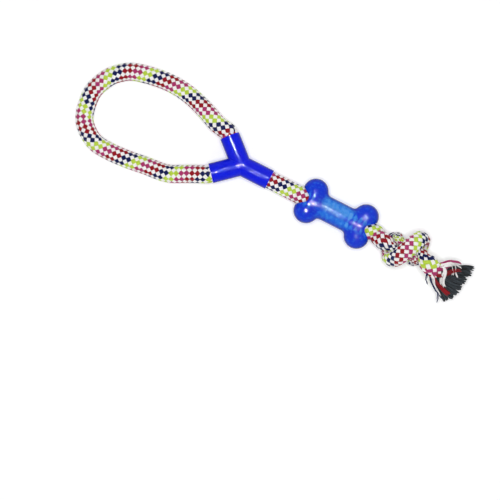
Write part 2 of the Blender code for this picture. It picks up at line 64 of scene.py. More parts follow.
import bmesh
import bpy
import numpy as np
from bpy.props import FloatProperty, FloatVectorProperty, IntProperty, PointerProperty
from mathutils import Vector

# Rope, in metres
ROPE_DIAMETER = 0.020
ROPE_RADIUS = ROPE_DIAMETER / 2
FLOOR_CUT = ROPE_DIAMETER * 0.1
FLOOR_PRESS = 0.0018
JACKET_WALL = 0.0026
STATION_STEP = 0.00063
LINE_PARTS = 24
END_PARTS = 12
CORE_SIDES = 24
CORE_SHARE = 0.72
STRAND_MAP_SHIFT = 0.05
CARRIERS_EACH_WAY = 8
STRAND_COLOURS = ("lime", "lime", "pink", "pink", "red", "red", "navy", "navy")
STRAND_SECTION = (
    (-1, 0), (-0.86, 0.62), (-0.6, 0.92), (-0.33, 0.78), (0, 1), (0.33, 0.78), (0.6, 0.92),
    (0.86, 0.62), (1, 0), (0.62, -0.75), (0.2, -0.95), (-0.2, -0.95), (-0.62, -0.75),
)

# Moulded Y sleeve
SLEEVE_ARM = 0.035
SLEEVE_SQUEEZE = 0.0003
SLEEVE_CLEARANCE = 0.00035
SLEEVE_WALL = 0.0012
SLEEVED_RADIUS = ROPE_RADIUS - SLEEVE_SQUEEZE
SLEEVE_OUTER = SLEEVED_RADIUS + SLEEVE_CLEARANCE + SLEEVE_WALL
LOOP_ARMS_DEG = 82.8
AXIS_HEIGHT = 0.0141
HUB_SQUEEZE_SHARE = 0.85
SLEEVE_RINGS = 39
SLEEVE_SEGMENTS = 96
MITRE_COSINE = 0.985
END_DEPTH = 0.0225
SEAM_DEPTH = 0.008

# Hand loop
LOOP_REACH = 0.1846
LOOP_HALF_WIDTH = 0.0492
LOOP_HEIGHT = ROPE_RADIUS - FLOOR_CUT
NECK_STRAIGHT_SHARE = 0.5
LOOP_ROUTE_SHARES = (
    (-0.240, 0.587), (-0.343, 0.741), (-0.455, 0.876), (-0.566, 0.935), (-0.687, 0.914),
    (-0.835, 0.788), (-0.913, 0.600), (-0.964, 0.366), (-1.000, 0.025), (-0.999, -0.323),
    (-0.974, -0.664), (-0.916, -0.898), (-0.846, -1.038), (-0.759, -1.066), (-0.638, -1.045),
    (-0.513, -0.980), (-0.377, -0.917), (-0.252, -0.695),
)

# Chew bone
BONE_PLACE = 0.118
LOBE_RADIUS = 0.0145
LOBE_SPACING = 0.0626
LOBE_SPREAD = 0.0240
SHANK_RADIUS = 0.0142
BORE_CLEARANCE = 0.0006
MOUTH_FLARE = 0.0012
MOUTH_DEPTH = 0.008

# Stopper knot, and the tail behind it
KNOT_PLACE = 0.2044
KNOT_SLACK = 0.0018
KNOT_FLAT = 0.0008
KNOT_PITCH = 0.030
KNOT_LEAN = 0.004
WRAP_STEPS = 8
WRAP_STEP_DEG = 30
WRAP_NARROWING_STEP = 5
WRAP_RADIUS = ROPE_DIAMETER * 0.41
KNOT_CORE_RADIUS = ROPE_DIAMETER * 0.235
TURN_RADIUS = ROPE_DIAMETER * 0.36
KNOT_CORE_LENGTH_SHARE = 0.4
KNOT_CORE_SAG_SHARE = 0.4
KNOT_LEAD_SHARE = 1.8
KNOT_HEIGHT = KNOT_CORE_RADIUS + KNOT_SLACK + 2 * WRAP_RADIUS - KNOT_FLAT
KNOT_LEG_SHARES = ((0.89, -0.52, -0.17, 0.2), (0.77, -0.41, -0.08, 0.265), (0.61, -0.35, -0.02, 0.265))
KNOT_IN_SHARES = ((-1.6, -0.115, -0.27, 0.49), (-1.2, -0.21, 0.06, 0.46), (-0.87, -0.28, 0.09, 0.35))
KNOT_OUT_SHARES = (
    (0.87, 0.15, 0.22, 0.31), (1.15, -0.07, 0.38, 0.36), (1.42, -0.2, 0.44, 0.455),
    (1.68, -0.28, 0.36, 0.47), (1.94, -0.35, 0.2, 0.5),
)
KNOT_WIDE_SHARE = 1.18
KNOT_THIN_SHARE = 0.93
KNOT_ALONG_SHARE = 0.25
KNOT_REACH = 0.028
KNOT_FADE = 0.010
SIDE_TURN_START = 0.004
SIDE_TURN_END = 0.009
SIDE_TURN_TUCK_SHARES = (0.16, 0.40)
WRAP_START = 0.008
WRAP_END = 0.018
WRAP_TUCK_SHARE = 0.11
TAIL_NECK = 0.015
TAIL_ROPE = 0.007

# Where the braid is twisted on, in the bone, in the knot and at the tail: from and to, before the
# rope's tip, and the turn
BRAID_TWISTS_DEG = ((0.362, 0.312, 60), (0.268, 0.196, 46), (0.112, 0.028, 129), (0.026, 0, -55))

# Tassel
TASSEL_LENGTH = 0.0402
TASSEL_TURN_DEG = 14
TASSEL_SPREAD_SHARE = 3.7
TASSEL_RISE_SHARE = 1.1
TASSEL_OPENING_SHARE = 1.3
STRAND_RING = ROPE_RADIUS - JACKET_WALL / 2
TASSEL_LIFT = 0.0018
TASSEL_HEIGHT = STRAND_RING * TASSEL_RISE_SHARE + TASSEL_LIFT
YARNS_RADIUS = ROPE_RADIUS - JACKET_WALL
UPRIGHT_RATE = 3
YARN_START_SHARE = -0.1
YARN_LENGTH_SHARE = 1.11
YARN_SLANT_SHARE = 0.08
YARN_RAG_SHARE = 0.06
YARN_ROOT_SHARE = 0.7
CLUMP_SHARE = 0.5
CLUMP_LENGTH_SHARES = (0.88, 1.0)
YARN_STRAY_SHARE = 0.05
YARN_BULGE_SHARE = 0.36
YARN_WAVES = (4, 9)
YARN_RINGS = 16
YARN_SIDES = 8
YARN_MAP_STEP = 0.0006
YARN_MAP_SHIFT = 0.03
THREAD_RINGS = 24
THREAD_SIDES = 6
THREAD_RADIUS = 0.0003
THREAD_WIDTH_SHARE = 0.6
THREAD_LENGTH_SHARES = (0.93, 1)
THREAD_LIFT_SHARES = (-0.6, 1)
THREAD_WAVES = (3, 9)
THREAD_MAP_STEP = 0.0004
THREAD_MAP_SHIFT = 0.02
BUNDLE_MAP_SHIFT = 0.3
TIP_SHARE = 0.6
WAY_PARTS = 8
STRANDS_LET_OUT = {"lime": 2, "pink": 2, "red": 2, "navy": 2, "white": 8}

# The fan's two corners: the side, from where on it the yarns are shorter, and by how much
FAN_CORNER_SHARES = ((1, 0.7, 0.06), (-1, 0.75, 0.12))

# Loose strands: colour, threads, width at the start and the end as shares of a braided strand's,
# and the way of each in shares of the tassel's length and of the yarns' half width and half height
LOOSE_STRAND_SHARES = (
    ("pink", 7, 0.7, 0.9, ((-0.08, 1.15, 0.1), (0.07, 2.2, 0.5), (0.33, 1.84, 0.8), (0.49, 1.56, 0.6))),
    ("pink", 8, 0.9, 0.9, ((-0.1, 0.5, 1.08), (0.0, 1.05, 1.15), (0.1, 1.45, 0.9), (0.28, 1.4, 0.5))),
    ("white", 6, 0.6, 0.5, ((-0.05, 1.15, 0.3), (0.1, 2.0, 0.8), (0.42, 1.38, 0.95), (0.61, 1.05, 0.8))),
    ("white", 6, 0.6, 0.4, (
        (-0.08, 0.9, 0.78), (0.0, 1.5, 1.1), (0.16, 1.68, 1.3), (0.38, 1.0, 1.2), (0.48, 0.72, 1.1),
        (0.54, 0.4, 1))),
    ("white", 6, 0.6, 0.4, (
        (-0.08, 1.1, 0.45), (0.06, 2.0, 1), (0.25, 1.72, 1.3), (0.44, 1.1, 1.25), (0.56, 0.66, 1.1),
        (0.75, 0.28, 1))),
    ("red", 6, 0.8, 0.7, (
        (-0.1, -0.45, 1.1), (0.0, -0.28, 1.2), (0.16, 0.02, 1.25), (0.31, 0.36, 1.3), (0.42, 0.76, 1.45),
        (0.53, 0.9, 1.4), (0.66, 0.87, 1.1))),
    ("red", 12, 0.5, 1.8, (
        (-0.08, -0.85, 0.85), (0.08, -1.0, 0.9), (0.33, -0.8, 1), (0.52, -0.72, 1), (0.72, -0.66, 1),
        (0.9, -0.62, 0.95))),
    ("white", 9, 0.9, 1.1, (
        (-0.1, 0.95, 0.8), (-0.02, 1.15, 1.15), (0.12, 0.62, 1.5), (0.29, -0.06, 1.5), (0.43, -0.46, 1.35),
        (0.6, -0.58, 1.15))),
    ("white", 5, 0.6, 0.25, (
        (-0.12, -0.95, 0.72), (0.0, -1.05, 0.85), (0.2, -1.18, 0.9), (0.45, -1.04, 1), (0.72, -1.0, 0.8))),
    ("navy", 4, 0.4, 0.4, ((-0.2, -1.1, 0.3), (-0.13, -1.6, 0.3), (-0.06, -1.98, 0.2), (0.1, -2.04, 0.1))),
    ("navy", 4, 0.5, 0.35, (
        (-0.06, -1.15, 0.2), (0.06, -1.45, 0.4), (0.26, -1.32, 0.6), (0.47, -1.18, 0.7), (0.6, -1.1, 0.7),
        (0.77, -1.36, 0.5))),
    ("navy", 3, 0.3, 0.35, ((0.2, -1.3, 0.6), (0.42, -1.18, 0.7), (0.6, -1.08, 0.75), (0.83, -1.02, 0.7))),
    ("white", 7, 0.9, 0.8, ((-0.05, -0.2, -1.15), (0.3, 0.1, -1.12), (0.7, 0.05, -1.05))),
    ("white", 7, 0.9, 0.8, ((-0.05, 0.95, -0.65), (0.3, 1.05, -0.6), (0.62, 1.0, -0.4))),
    ("white", 7, 0.9, 0.8, ((-0.05, -0.95, -0.65), (0.3, -0.98, -0.7), (0.55, -0.9, -0.55))),
    ("lime", 7, 0.9, 1, ((-0.05, -0.6, -1), (0.3, -0.55, -1.05), (0.65, -0.5, -1))),
    ("lime", 7, 0.9, 1, ((-0.05, 0.5, -1.05), (0.3, 0.5, -1.05), (0.55, 0.45, -1))),
)

# Yarn. The two numbers of a colour are the depth of its fibres and its change of shade
FIBRE_SCALE = (260, 3600, 1)
SHADE_SCALE = (45, 90, 1)
FIBRE_TOP_SHARE = 1.04
FIBRE_DEPTH = 0.0003
YARN_SHADES = {"white": (0.16, 0.05), "core": (0.35, 1.3)}
OTHER_SHADES = (0.35, 0.12)

# Moulded skins: their waves, grain and scratches, and the painted shade where they turn away from the view
RIPPLE_SCALE = 130
GRAIN_SCALE = 2600
GRAIN_SHARE = 0.06
PATCH_SCALE = 60
SCRATCH_SCALE = (160, 2400, 2400)
SCRATCH_TURN = (0.3, 0.5, 0.7)
SIDES_START = 0.25
SIDES_SHADE = 0.2
SCRATCHED_BLUE = (0.03, 0.06, 0.8, 1)
TAPE_COLOUR = (0.75, 0.73, 0.66, 1)

# Clear rubber: where it is thick and thin, its mottles of painted light, and where the braid's checks show
# through it
THICK_SHARES = (0.4, 1.3)
THIN_SHARES = (1.1, 0.55)
# Painted shade on the rubber's lower side: the half width of its ramp and the level it deepens to
LOWER_EDGE = 0.004
PAINTED_LOWER_SHADE = 0.62
MOTTLE_SCALE = 260
PAINTED_MOTTLE_SHARE = 0.3
CELL_BLUR = (0.004, 0.004, 0.004)
CELL_EDGE = 0.8
CELLS_MIDDLE = -0.008
CELLS_FROM_MIDDLE = (0.016, 0.025)
CELLS_HALF_WIDTH = (0.011, 0.006)
SHANK_CELLS_SHARE = 0.1
MOUTH_CELLS_SHARE = 0.62
PALE_SHARE = 0.45
PALE_BLUE = (0.22, 0.52, 0.95, 1)

# Studio
PHOTO_TURN = math.radians(27)
PHOTO_CENTRE = (0.0511, -0.0793)
SENSOR_WIDTH = 36
RING_OUTER_SHARE = 1.08
WHITE_LIGHT = (1, 1, 1, 1)
SKY_EDGE = 0.8
FLOOR_HALF_WIDTH = 6
FLOOR_COLOUR = (0.86, 0.86, 0.87, 1)
FLOOR_LIFT_REACH = (0.45, 1.6)
FLOOR_LIFT = (0.2, 0.95)

# Where the toy's hub stands in the frame, and the lines of the sleeve's arms
sleeve_low, sleeve_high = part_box("y_sleeve")
HUB = Vector((
    sleeve_high.x - SLEEVE_ARM, (sleeve_low.y + sleeve_high.y) / 2,
    (sleeve_low.z + sleeve_high.z) / 2 - AXIS_HEIGHT,
))
ARM_ANGLE = math.pi - math.radians(LOOP_ARMS_DEG / 2)
UPPER_ARM = Vector((math.cos(ARM_ANGLE), math.sin(ARM_ANGLE), 0))
LOWER_ARM = Vector((math.cos(ARM_ANGLE), -math.sin(ARM_ANGLE), 0))
STEM_ARM = Vector((1, 0, 0))
KNOT_MIDDLE = np.array((KNOT_PLACE, 0, KNOT_HEIGHT))


class RopeSettings(bpy.types.PropertyGroup):
    lay_length: FloatProperty(
        name="Lay length", description="Length of one turn of a strand round the rope",
        default=0.0456, min=0.01, subtype="DISTANCE")
    strand_width: FloatProperty(
        name="Strand width", description="Width of a coloured strand where it lies on top",
        default=0.0051, min=0.0005, subtype="DISTANCE")
    white_share: FloatProperty(
        name="White share", description="Width of a white strand as a share of a coloured one",
        default=0.86, min=0.1, max=1, subtype="FACTOR")
    strand_thickness: FloatProperty(
        name="Strand thickness", description="Thickness of a braided strand",
        default=0.0017, min=0.0002, subtype="DISTANCE")
    wave_height: FloatProperty(
        name="Wave height", description="How far a strand rises and dips as it crosses others",
        default=0.00075, min=0, subtype="DISTANCE")
    white: FloatVectorProperty(
        name="White", description="Colour of the white strands",
        default=(0.93, 0.91, 0.90), size=3, min=0, max=1, subtype="COLOR")
    lime: FloatVectorProperty(
        name="Lime", description="Colour of the lime strands",
        default=(0.56, 0.76, 0.07), size=3, min=0, max=1, subtype="COLOR")
    pink: FloatVectorProperty(
        name="Pink", description="Colour of the pink strands",
        default=(0.46, 0.04, 0.16), size=3, min=0, max=1, subtype="COLOR")
    red: FloatVectorProperty(
        name="Red", description="Colour of the red strands",
        default=(0.33, 0.003, 0.012), size=3, min=0, max=1, subtype="COLOR")
    navy: FloatVectorProperty(
        name="Navy", description="Colour of the navy strands",
        default=(0.001, 0.006, 0.08), size=3, min=0, max=1, subtype="COLOR")
    core: FloatVectorProperty(
        name="Core", description="Colour of the core yarns",
        default=(0.12, 0.15, 0.18), size=3, min=0, max=1, subtype="COLOR")


class SleeveSettings(bpy.types.PropertyGroup):
    mitre_fillet: FloatProperty(
        name="Mitre fillet", description="Width of the fillet where two arms meet",
        default=0.0007, min=0, subtype="DISTANCE")
    rim_radius: FloatProperty(
        name="Rim radius", description="Rounding of the mouths' rims",
        default=0.0003, min=0, subtype="DISTANCE")
    colour: FloatVectorProperty(
        name="Colour", description="Colour of the moulded plastic",
        default=(0.001, 0.009, 0.68), size=3, min=0, max=1, subtype="COLOR")
    roughness: FloatProperty(
        name="Roughness", description="Roughness of the moulded plastic", default=0.06, min=0, max=1)


class BoneSettings(bpy.types.PropertyGroup):
    skin_size: FloatProperty(
        name="Skin size", description="Size of the faces of the bone's skin",
        default=0.0008, min=0.0003, subtype="DISTANCE")
    fillet_passes: IntProperty(
        name="Fillet passes", description="How often the skin is smoothed, which widens the fillets",
        default=80, min=0)
    deep_colour: FloatVectorProperty(
        name="Deep colour", description="Colour of the rubber where it is thick",
        default=(0.003, 0.04, 0.72), size=3, min=0, max=1, subtype="COLOR")
    thin_colour: FloatVectorProperty(
        name="Thin colour", description="Colour of the rubber where it is thin",
        default=(0.03, 0.28, 0.87), size=3, min=0, max=1, subtype="COLOR")
    clearness: FloatProperty(
        name="Clearness", description="Share of the light that goes through the rubber",
        default=0.2, min=0, max=1)
    roughness: FloatProperty(
        name="Roughness", description="Roughness of the rubber's skin", default=0.06, min=0, max=1)


class TasselSettings(bpy.types.PropertyGroup):
    yarn_diameter: FloatProperty(
        name="Yarn diameter", description="Diameter of a core yarn",
        default=0.0017, min=0.0002, subtype="DISTANCE")
    yarn_spacing: FloatProperty(
        name="Yarn spacing", description="Distance between neighbouring core yarns in the rope",
        default=0.00115, min=0.0003, subtype="DISTANCE")
    clumps: IntProperty(
        name="Clumps", description="Number of clumps that the core yarns stick in", default=34, min=1)
    stray: FloatProperty(
        name="Stray", description="How far a thread wanders in its strand",
        default=0.0004, min=0, subtype="DISTANCE")
    seed: IntProperty(name="Seed", description="Changes how the yarns fall", default=5)


class StudioSettings(bpy.types.PropertyGroup):
    camera_height: FloatProperty(
        name="Camera height", description="Height of the camera over the floor",
        default=1.5, min=0.3, subtype="DISTANCE")
    view_width: FloatProperty(
        name="View width", description="Width of the floor that the camera sees",
        default=0.555, min=0.05, subtype="DISTANCE")
    ring_radius: FloatProperty(
        name="Ring radius", description="Radius of the ring light round the camera",
        default=0.24, min=0.02, subtype="DISTANCE")
    ring_strength: FloatProperty(
        name="Ring strength", description="Strength of the ring light", default=185, min=0)
    gleam: FloatProperty(
        name="Gleam", description="How much brighter the ring is where gloss mirrors it", default=4, min=0)
    sky_strength: FloatProperty(
        name="Sky strength", description="Strength of the light from straight above", default=0.12, min=0)
    side_strength: FloatProperty(
        name="Side strength", description="Strength of the light from all round, near the floor",
        default=1.0, min=0)


def unit(vectors):
    return vectors / np.linalg.norm(vectors, axis=-1, keepdims=True)


def eased(share):
    share = np.clip(share, 0, 1)
    return share * share * (3 - 2 * share)


def new_piece(name, shape, finish):
    """Makes an object of a bmesh, smooth shaded, with one material."""
    mesh = bpy.data.meshes.new(name)
    shape.to_mesh(mesh)
    shape.free()
    mesh.shade_smooth()
    mesh.materials.append(finish)
    piece = bpy.data.objects.new(name, mesh)
    bpy.context.scene.collection.objects.link(piece)
    return piece


# Tubes: every strand, yarn and thread is a tube whose rings are laid where they belong

class Tubes:
    """Closed tubes of one number of rings and sides, gathered in one mesh with a map along them."""

    def __init__(self, rings, sides):
        self.rings = rings
        self.sides = sides
        self.shape = bmesh.new()
        blank = bmesh.new()
        bmesh.ops.create_cone(blank, cap_ends=True, segments=sides, radius1=1, radius2=1, depth=1)
        lengthwise = [e for e in blank.edges if abs(e.verts[0].co.z - e.verts[1].co.z) > 0.5]
        bmesh.ops.subdivide_edges(blank, edges=lengthwise, cuts=rings - 2)
        self.mesh = bpy.data.meshes.new("tube")
        blank.to_mesh(self.mesh)
        blank.free()
        self.mesh.uv_layers.new(name="along")
        places = np.zeros(len(self.mesh.vertices) * 3)
        self.mesh.vertices.foreach_get("co", places)
        places = places.reshape(-1, 3)
        self.ring_of = np.rint((places[:, 2] + 0.5) * (rings - 1)).astype(int)
        turn = np.arctan2(places[:, 1], places[:, 0]) / math.tau * sides
        self.side_of = np.rint(turn - turn[0]).astype(int) % sides
        self.corners = np.zeros(len(self.mesh.loops), int)
        self.mesh.loops.foreach_get("vertex_index", self.corners)

    def add(self, rings, across, along, shift):
        """Adds a tube through rings (rings, sides, 3). Across and along are its map."""
        places = rings[self.ring_of, self.side_of]
        self.mesh.vertices.foreach_set("co", places.ravel())
        spots = np.stack([along[self.ring_of], across[self.side_of] + shift], axis=1)
        self.mesh.uv_layers[0].data.foreach_set("uv", spots[self.corners].ravel())
        self.shape.from_mesh(self.mesh)

    def piece(self, name, finish):
        bpy.data.meshes.remove(self.mesh)
        return new_piece(name, self.shape, finish)


def carried(heads, up):
    """Directions square to the heads, carried along them without twist from one start."""
    ups = np.empty_like(heads)
    for i, head in enumerate(heads):
        up = up - (up @ head) * head
        up = up / np.linalg.norm(up)
        ups[i] = up
    return ups


def circles(ups, sideways, sides):
    """Unit circles round a line, counted round its heading."""
    turns = math.tau * np.arange(sides) / sides
    return np.cos(turns)[None, :, None] * ups[:, None] + np.sin(turns)[None, :, None] * sideways[:, None]


def round_rings(places, radii, sides):
    """Rings of a round tube along places (n, 3), carried along without twist."""
    heads = unit(np.gradient(places, axis=0))
    ups = carried(heads, np.array((0.0, 0.0, 1.0)) if abs(heads[0][2]) < 0.9 else np.array((0.0, 1.0, 0.0)))
    return places[:, None] + radii[:, None, None] * circles(ups, np.cross(heads, ups), sides)


# The rope's line, which repeats the route of the frame's rope

def smooth_line(points, parts):
    """A smooth line through given points (x, y, z, radius), each stretch in equal parts."""
    points = np.array(points, float)
    points = np.vstack([2 * points[0] - points[1], points, 2 * points[-1] - points[-2]])
    t = np.arange(parts)[:, None] / parts
    weights = (
        (-t + 2 * t**2 - t**3) / 2,
        (2 - 5 * t**2 + 3 * t**3) / 2,
        (t + 4 * t**2 - 3 * t**3) / 2,
        (-(t**2) + t**3) / 2,
    )
    runs = [sum(weights[k] * points[i + k] for k in range(4)) for i in range(len(points) - 3)]
    return np.vstack(runs + [points[-2:-1]])


def arm_point(arm, reach, radius):
    return (*(arm * reach)[:2], AXIS_HEIGHT, radius)


def loop_points():
    """The loop between the sleeve's mouths, seen from the hub."""
    straight = SLEEVE_ARM + ROPE_RADIUS * NECK_STRAIGHT_SHARE
    places = [tuple((UPPER_ARM * straight)[:2])]
    places += [(x * LOOP_REACH, y * LOOP_HALF_WIDTH) for x, y in LOOP_ROUTE_SHARES]
    places.append(tuple((LOWER_ARM * straight)[:2]))
    points = []
    for x, y in places:
        drop = eased((-x - SLEEVE_ARM) / (LOOP_REACH / 2 - SLEEVE_ARM))
        points.append((x, y, AXIS_HEIGHT + drop * (LOOP_HEIGHT - AXIS_HEIGHT), ROPE_RADIUS))
    return points


def sized(points):
    """Points (x, y, z, radius) of shares of the rope's diameter, in metres."""
    return [tuple(ROPE_DIAMETER * share for share in point) for point in points]


def knot_points():
    """The wrap of the knot round its two core strands."""
    around = KNOT_CORE_RADIUS + WRAP_RADIUS + KNOT_SLACK
    beside = KNOT_CORE_RADIUS + KNOT_SLACK / 2
    half = []
    for step in range(WRAP_STEPS):
        turn = math.radians(WRAP_STEP_DEG * step)
        sideways = math.sin(turn)
        squared = beside * sideways * (3 - sideways * sideways) / 2
        radius = WRAP_RADIUS + max(step - WRAP_NARROWING_STEP, 0) / 2 * (TURN_RADIUS - WRAP_RADIUS)
        along = KNOT_PITCH * turn / math.tau + KNOT_LEAN * sideways
        half.append((along, around * sideways + squared, around * math.cos(turn), radius))
    half += sized(KNOT_LEG_SHARES)
    reach = ROPE_DIAMETER * KNOT_CORE_LENGTH_SHARE
    half.append((reach, -beside, KNOT_SLACK / 2, KNOT_CORE_RADIUS))
    half.append((0, -beside, -KNOT_SLACK * KNOT_CORE_SAG_SHARE, KNOT_CORE_RADIUS))
    half.append((-reach, -beside, KNOT_SLACK / 2, KNOT_CORE_RADIUS))
    return half[::-1] + [(-x, -y, z, radius) for x, y, z, radius in half[1:]]


def stem_points():
    """The rope from the lower arm's mouth through the hub and the bone to the knot and the tail."""
    hub = ROPE_RADIUS * HUB_SQUEEZE_SHARE
    lead = KNOT_PLACE - ROPE_DIAMETER * KNOT_LEAD_SHARE
    sleeved = [
        (SLEEVE_ARM, SLEEVED_RADIUS), (SLEEVE_ARM / 2, SLEEVED_RADIUS),
        (ROPE_RADIUS, (hub + SLEEVED_RADIUS) / 2),
    ]
    points = [arm_point(LOWER_ARM, reach, radius) for reach, radius in sleeved]
    points.append((0, hub - ROPE_RADIUS, AXIS_HEIGHT, hub))
    points += [arm_point(STEM_ARM, reach, radius) for reach, radius in sleeved[::-1]]
    for reach in (SLEEVE_ARM + ROPE_RADIUS, BONE_PLACE, lead - ROPE_RADIUS, lead):
        points.append(arm_point(STEM_ARM, reach, ROPE_RADIUS))
    knot = sized(KNOT_IN_SHARES) + knot_points() + sized(KNOT_OUT_SHARES)
    return points + [(x + KNOT_PLACE, y, z + KNOT_HEIGHT, radius) for x, y, z, radius in knot]


class RopeLine:
    """The whole rope's centre line at even stations, with a frame carried along without twist."""

    def __init__(self):
        upper, lower = (arm_point(arm, SLEEVE_ARM, SLEEVED_RADIUS) for arm in (UPPER_ARM, LOWER_ARM))
        cut_end = arm_point(UPPER_ARM, SLEEVE_ARM - END_DEPTH, SLEEVED_RADIUS)
        runs = [
            np.linspace(cut_end, upper, END_PARTS),
            smooth_line([upper] + loop_points() + [lower], LINE_PARTS)[1:],
            smooth_line(stem_points(), LINE_PARTS)[1:],
        ]
        fine = np.vstack(runs)
        travelled = np.concatenate([[0], np.cumsum(np.linalg.norm(np.diff(fine[:, :3], axis=0), axis=1))])
        upper_mouth, lower_mouth, tip = travelled[np.cumsum([len(run) for run in runs]) - 1]
        self.along = np.linspace(0, tip, round(tip / STATION_STEP) + 1)
        table = np.stack([np.interp(self.along, travelled, fine[:, k]) for k in range(4)], axis=1)
        self.places = tucked(table[:, :3] - KNOT_MIDDLE) + np.array(HUB) + KNOT_MIDDLE
        self.radii = table[:, 3]
        before_tip = tip - self.along
        self.twists = sum(
            math.radians(turn) * eased((start - before_tip) / (start - end))
            for start, end, turn in BRAID_TWISTS_DEG)
        self.heads = unit(np.gradient(self.places, axis=0))
        self.ups = carried(self.heads, np.array((0.0, 0.0, 1.0)))
        self.sides = np.cross(self.heads, self.ups)
        self.marks = {
            "end_tip": 0,
            "upper_seam": upper_mouth - SEAM_DEPTH,
            "upper_mouth": upper_mouth,
            "lower_seam": lower_mouth + SEAM_DEPTH,
            "tail_neck": tip - TAIL_ROPE - TAIL_NECK,
            "tail": tip - TAIL_ROPE,
            "tip": tip,
        }

    def station(self, mark):
        return np.searchsorted(self.along, self.marks[mark] - STATION_STEP / 2)

    def rows(self, start, end):
        """The stations from one named mark to another."""
        return slice(self.station(start), min(self.station(end) + 1, len(self.along)))

    def place_at(self, mark):
        return Vector(self.places[self.station(mark)])

    def path(self, start, end):
        return self.places[self.rows(start, end)][::3].tolist() + [list(self.place_at(end))]

    def length(self, start, end):
        path = self.path(start, end)
        return sum(math.dist(a, b) for a, b in zip(path, path[1:]))


def side_turns(away):
    """A mask of the knot's turns that stand out beside its wraps, from places seen from its middle."""
    crossed = eased(-away[:, 0] * away[:, 1] / SIDE_TURN_START**2)
    return crossed * eased((np.abs(away[:, 1]) - SIDE_TURN_START) / (SIDE_TURN_END - SIDE_TURN_START))


def tucked(away):
    """Pulls the knot tight: its side turns go in against it, and its wraps close on it."""
    inside = 1 - eased((np.abs(away[:, 0]) - KNOT_REACH) / KNOT_FADE)
    side = side_turns(away) * inside
    wrap = eased((np.abs(away[:, 1]) - WRAP_START) / (WRAP_END - WRAP_START)) * inside * (1 - side)
    result = away.copy()
    result[:, 0] *= 1 - SIDE_TURN_TUCK_SHARES[0] * side - WRAP_TUCK_SHARE * wrap
    result[:, 1] *= 1 - SIDE_TURN_TUCK_SHARES[1] * side - WRAP_TUCK_SHARE * wrap
    return result


def pressed(line, rows, rings):
    """Flattens the rope's rings against the knot, which makes its wraps wide."""
    places = line.places[rows]
    heads = line.heads[rows]
    away = places - np.array(HUB) - KNOT_MIDDLE
    outward = away * np.array((KNOT_ALONG_SHARE, 1, 1))
    outward -= (outward * heads).sum(1, keepdims=True) * heads
    outward = unit(outward + 1e-9)
    beside = np.cross(heads, outward)
    strength = (1 - eased((np.abs(away[:, 0]) - KNOT_REACH) / KNOT_FADE)) * (1 - side_turns(away))
    offsets = rings - places[:, None]
    out = (offsets * outward[:, None]).sum(2, keepdims=True)
    side = (offsets * beside[:, None]).sum(2, keepdims=True)
    change = (KNOT_THIN_SHARE - 1) * out * outward[:, None] + (KNOT_WIDE_SHARE - 1) * side * beside[:, None]
    return rings + strength[:, None, None] * change


def settled(rings):
    """Flattens what would sink into the floor, where the rope's weight presses its strands."""
    depth = np.minimum((rings[..., 2] - FLOOR_PRESS) / FLOOR_PRESS, 0)
    rings[..., 2] = np.where(depth < 0, FLOOR_PRESS * np.exp(depth), rings[..., 2])
    return rings


def strand_rings(line, rows, hand, carrier):
    """A braided strand's rings. Hand is 1 for the coloured strands and -1 for the white ones."""
    rope = bpy.context.scene.toy_rope
    along = line.along[rows]
    angle = line.twists[rows] + math.tau * (carrier / CARRIERS_EACH_WAY - hand * along / rope.lay_length)
    wave = hand * np.cos(math.tau * along * CARRIERS_EACH_WAY / rope.lay_length)
    scale = line.radii[rows] / ROPE_RADIUS
    middle = ROPE_RADIUS - rope.strand_thickness / 2 - rope.wave_height
    height = scale * (middle + rope.wave_height * wave)
    outward = np.cos(angle)[:, None] * line.ups[rows] + np.sin(angle)[:, None] * line.sides[rows]
    centres = line.places[rows] + height[:, None] * outward
    heads = unit(np.gradient(centres, axis=0))
    outward = unit(outward - (outward * heads).sum(1, keepdims=True) * heads)
    beside = np.cross(heads, outward)
    width = scale * rope.strand_width / 2 * (1 if hand > 0 else rope.white_share)
    thick = scale * rope.strand_thickness / 2
    section = np.array(STRAND_SECTION)
    rings = centres[:, None] + section[None, :, :1] * width[:, None, None] * beside[:, None]
    rings += section[None, :, 1:] * thick[:, None, None] * outward[:, None]
    return settled(pressed(line, rows, rings))


def braid(line, name, start, end):
    """One stretch of braid from mark to mark: white strands, four colours and the dark core."""
    rope = bpy.context.scene.toy_rope
    rows = line.rows(start, end)
    along = line.along[rows]
    across = np.array([x for x, _ in STRAND_SECTION]) * rope.strand_width / 2
    made = {}
    groups = {"white": (-1, range(CARRIERS_EACH_WAY))}
    for colour in dict.fromkeys(STRAND_COLOURS):
        groups[colour] = (1, [i for i, own in enumerate(STRAND_COLOURS) if own == colour])
    for colour, (hand, carriers) in groups.items():
        tubes = Tubes(len(along), len(STRAND_SECTION))
        for carrier in carriers:
            tubes.add(strand_rings(line, rows, hand, carrier), across, along, STRAND_MAP_SHIFT * carrier)
        made[colour] = tubes.piece(f"{name}_{colour}_strands", yarn_finish(colour))
    tubes = Tubes(len(along), CORE_SIDES)
    rings = circles(line.ups[rows], line.sides[rows], CORE_SIDES)
    rings = line.places[rows][:, None] + (CORE_SHARE * line.radii[rows])[:, None, None] * rings
    rings = settled(pressed(line, rows, rings))
    across = -math.tau * np.arange(CORE_SIDES) / CORE_SIDES % math.tau * ROPE_RADIUS
    tubes.add(rings, across, along, 0)
    made["core"] = tubes.piece(f"{name}_core_yarns", yarn_finish("core"))
    return made


# Materials

def feed(tree, node, given):
    """Gives a node's inputs, by name or number, plain values or the outputs of other nodes."""
    for name, value in dict(given).items():
        if isinstance(value, bpy.types.NodeSocket):
            tree.links.new(value, node.inputs[name])
        else:
            node.inputs[name].default_value = value


def add_node(tree, kind, given=(), **settings):
    """A shader node with its own settings, and with what its inputs are given."""
    node = tree.nodes.new(kind)
    for name, value in settings.items():
        setattr(node, name, value)
    feed(tree, node, given)
    return node


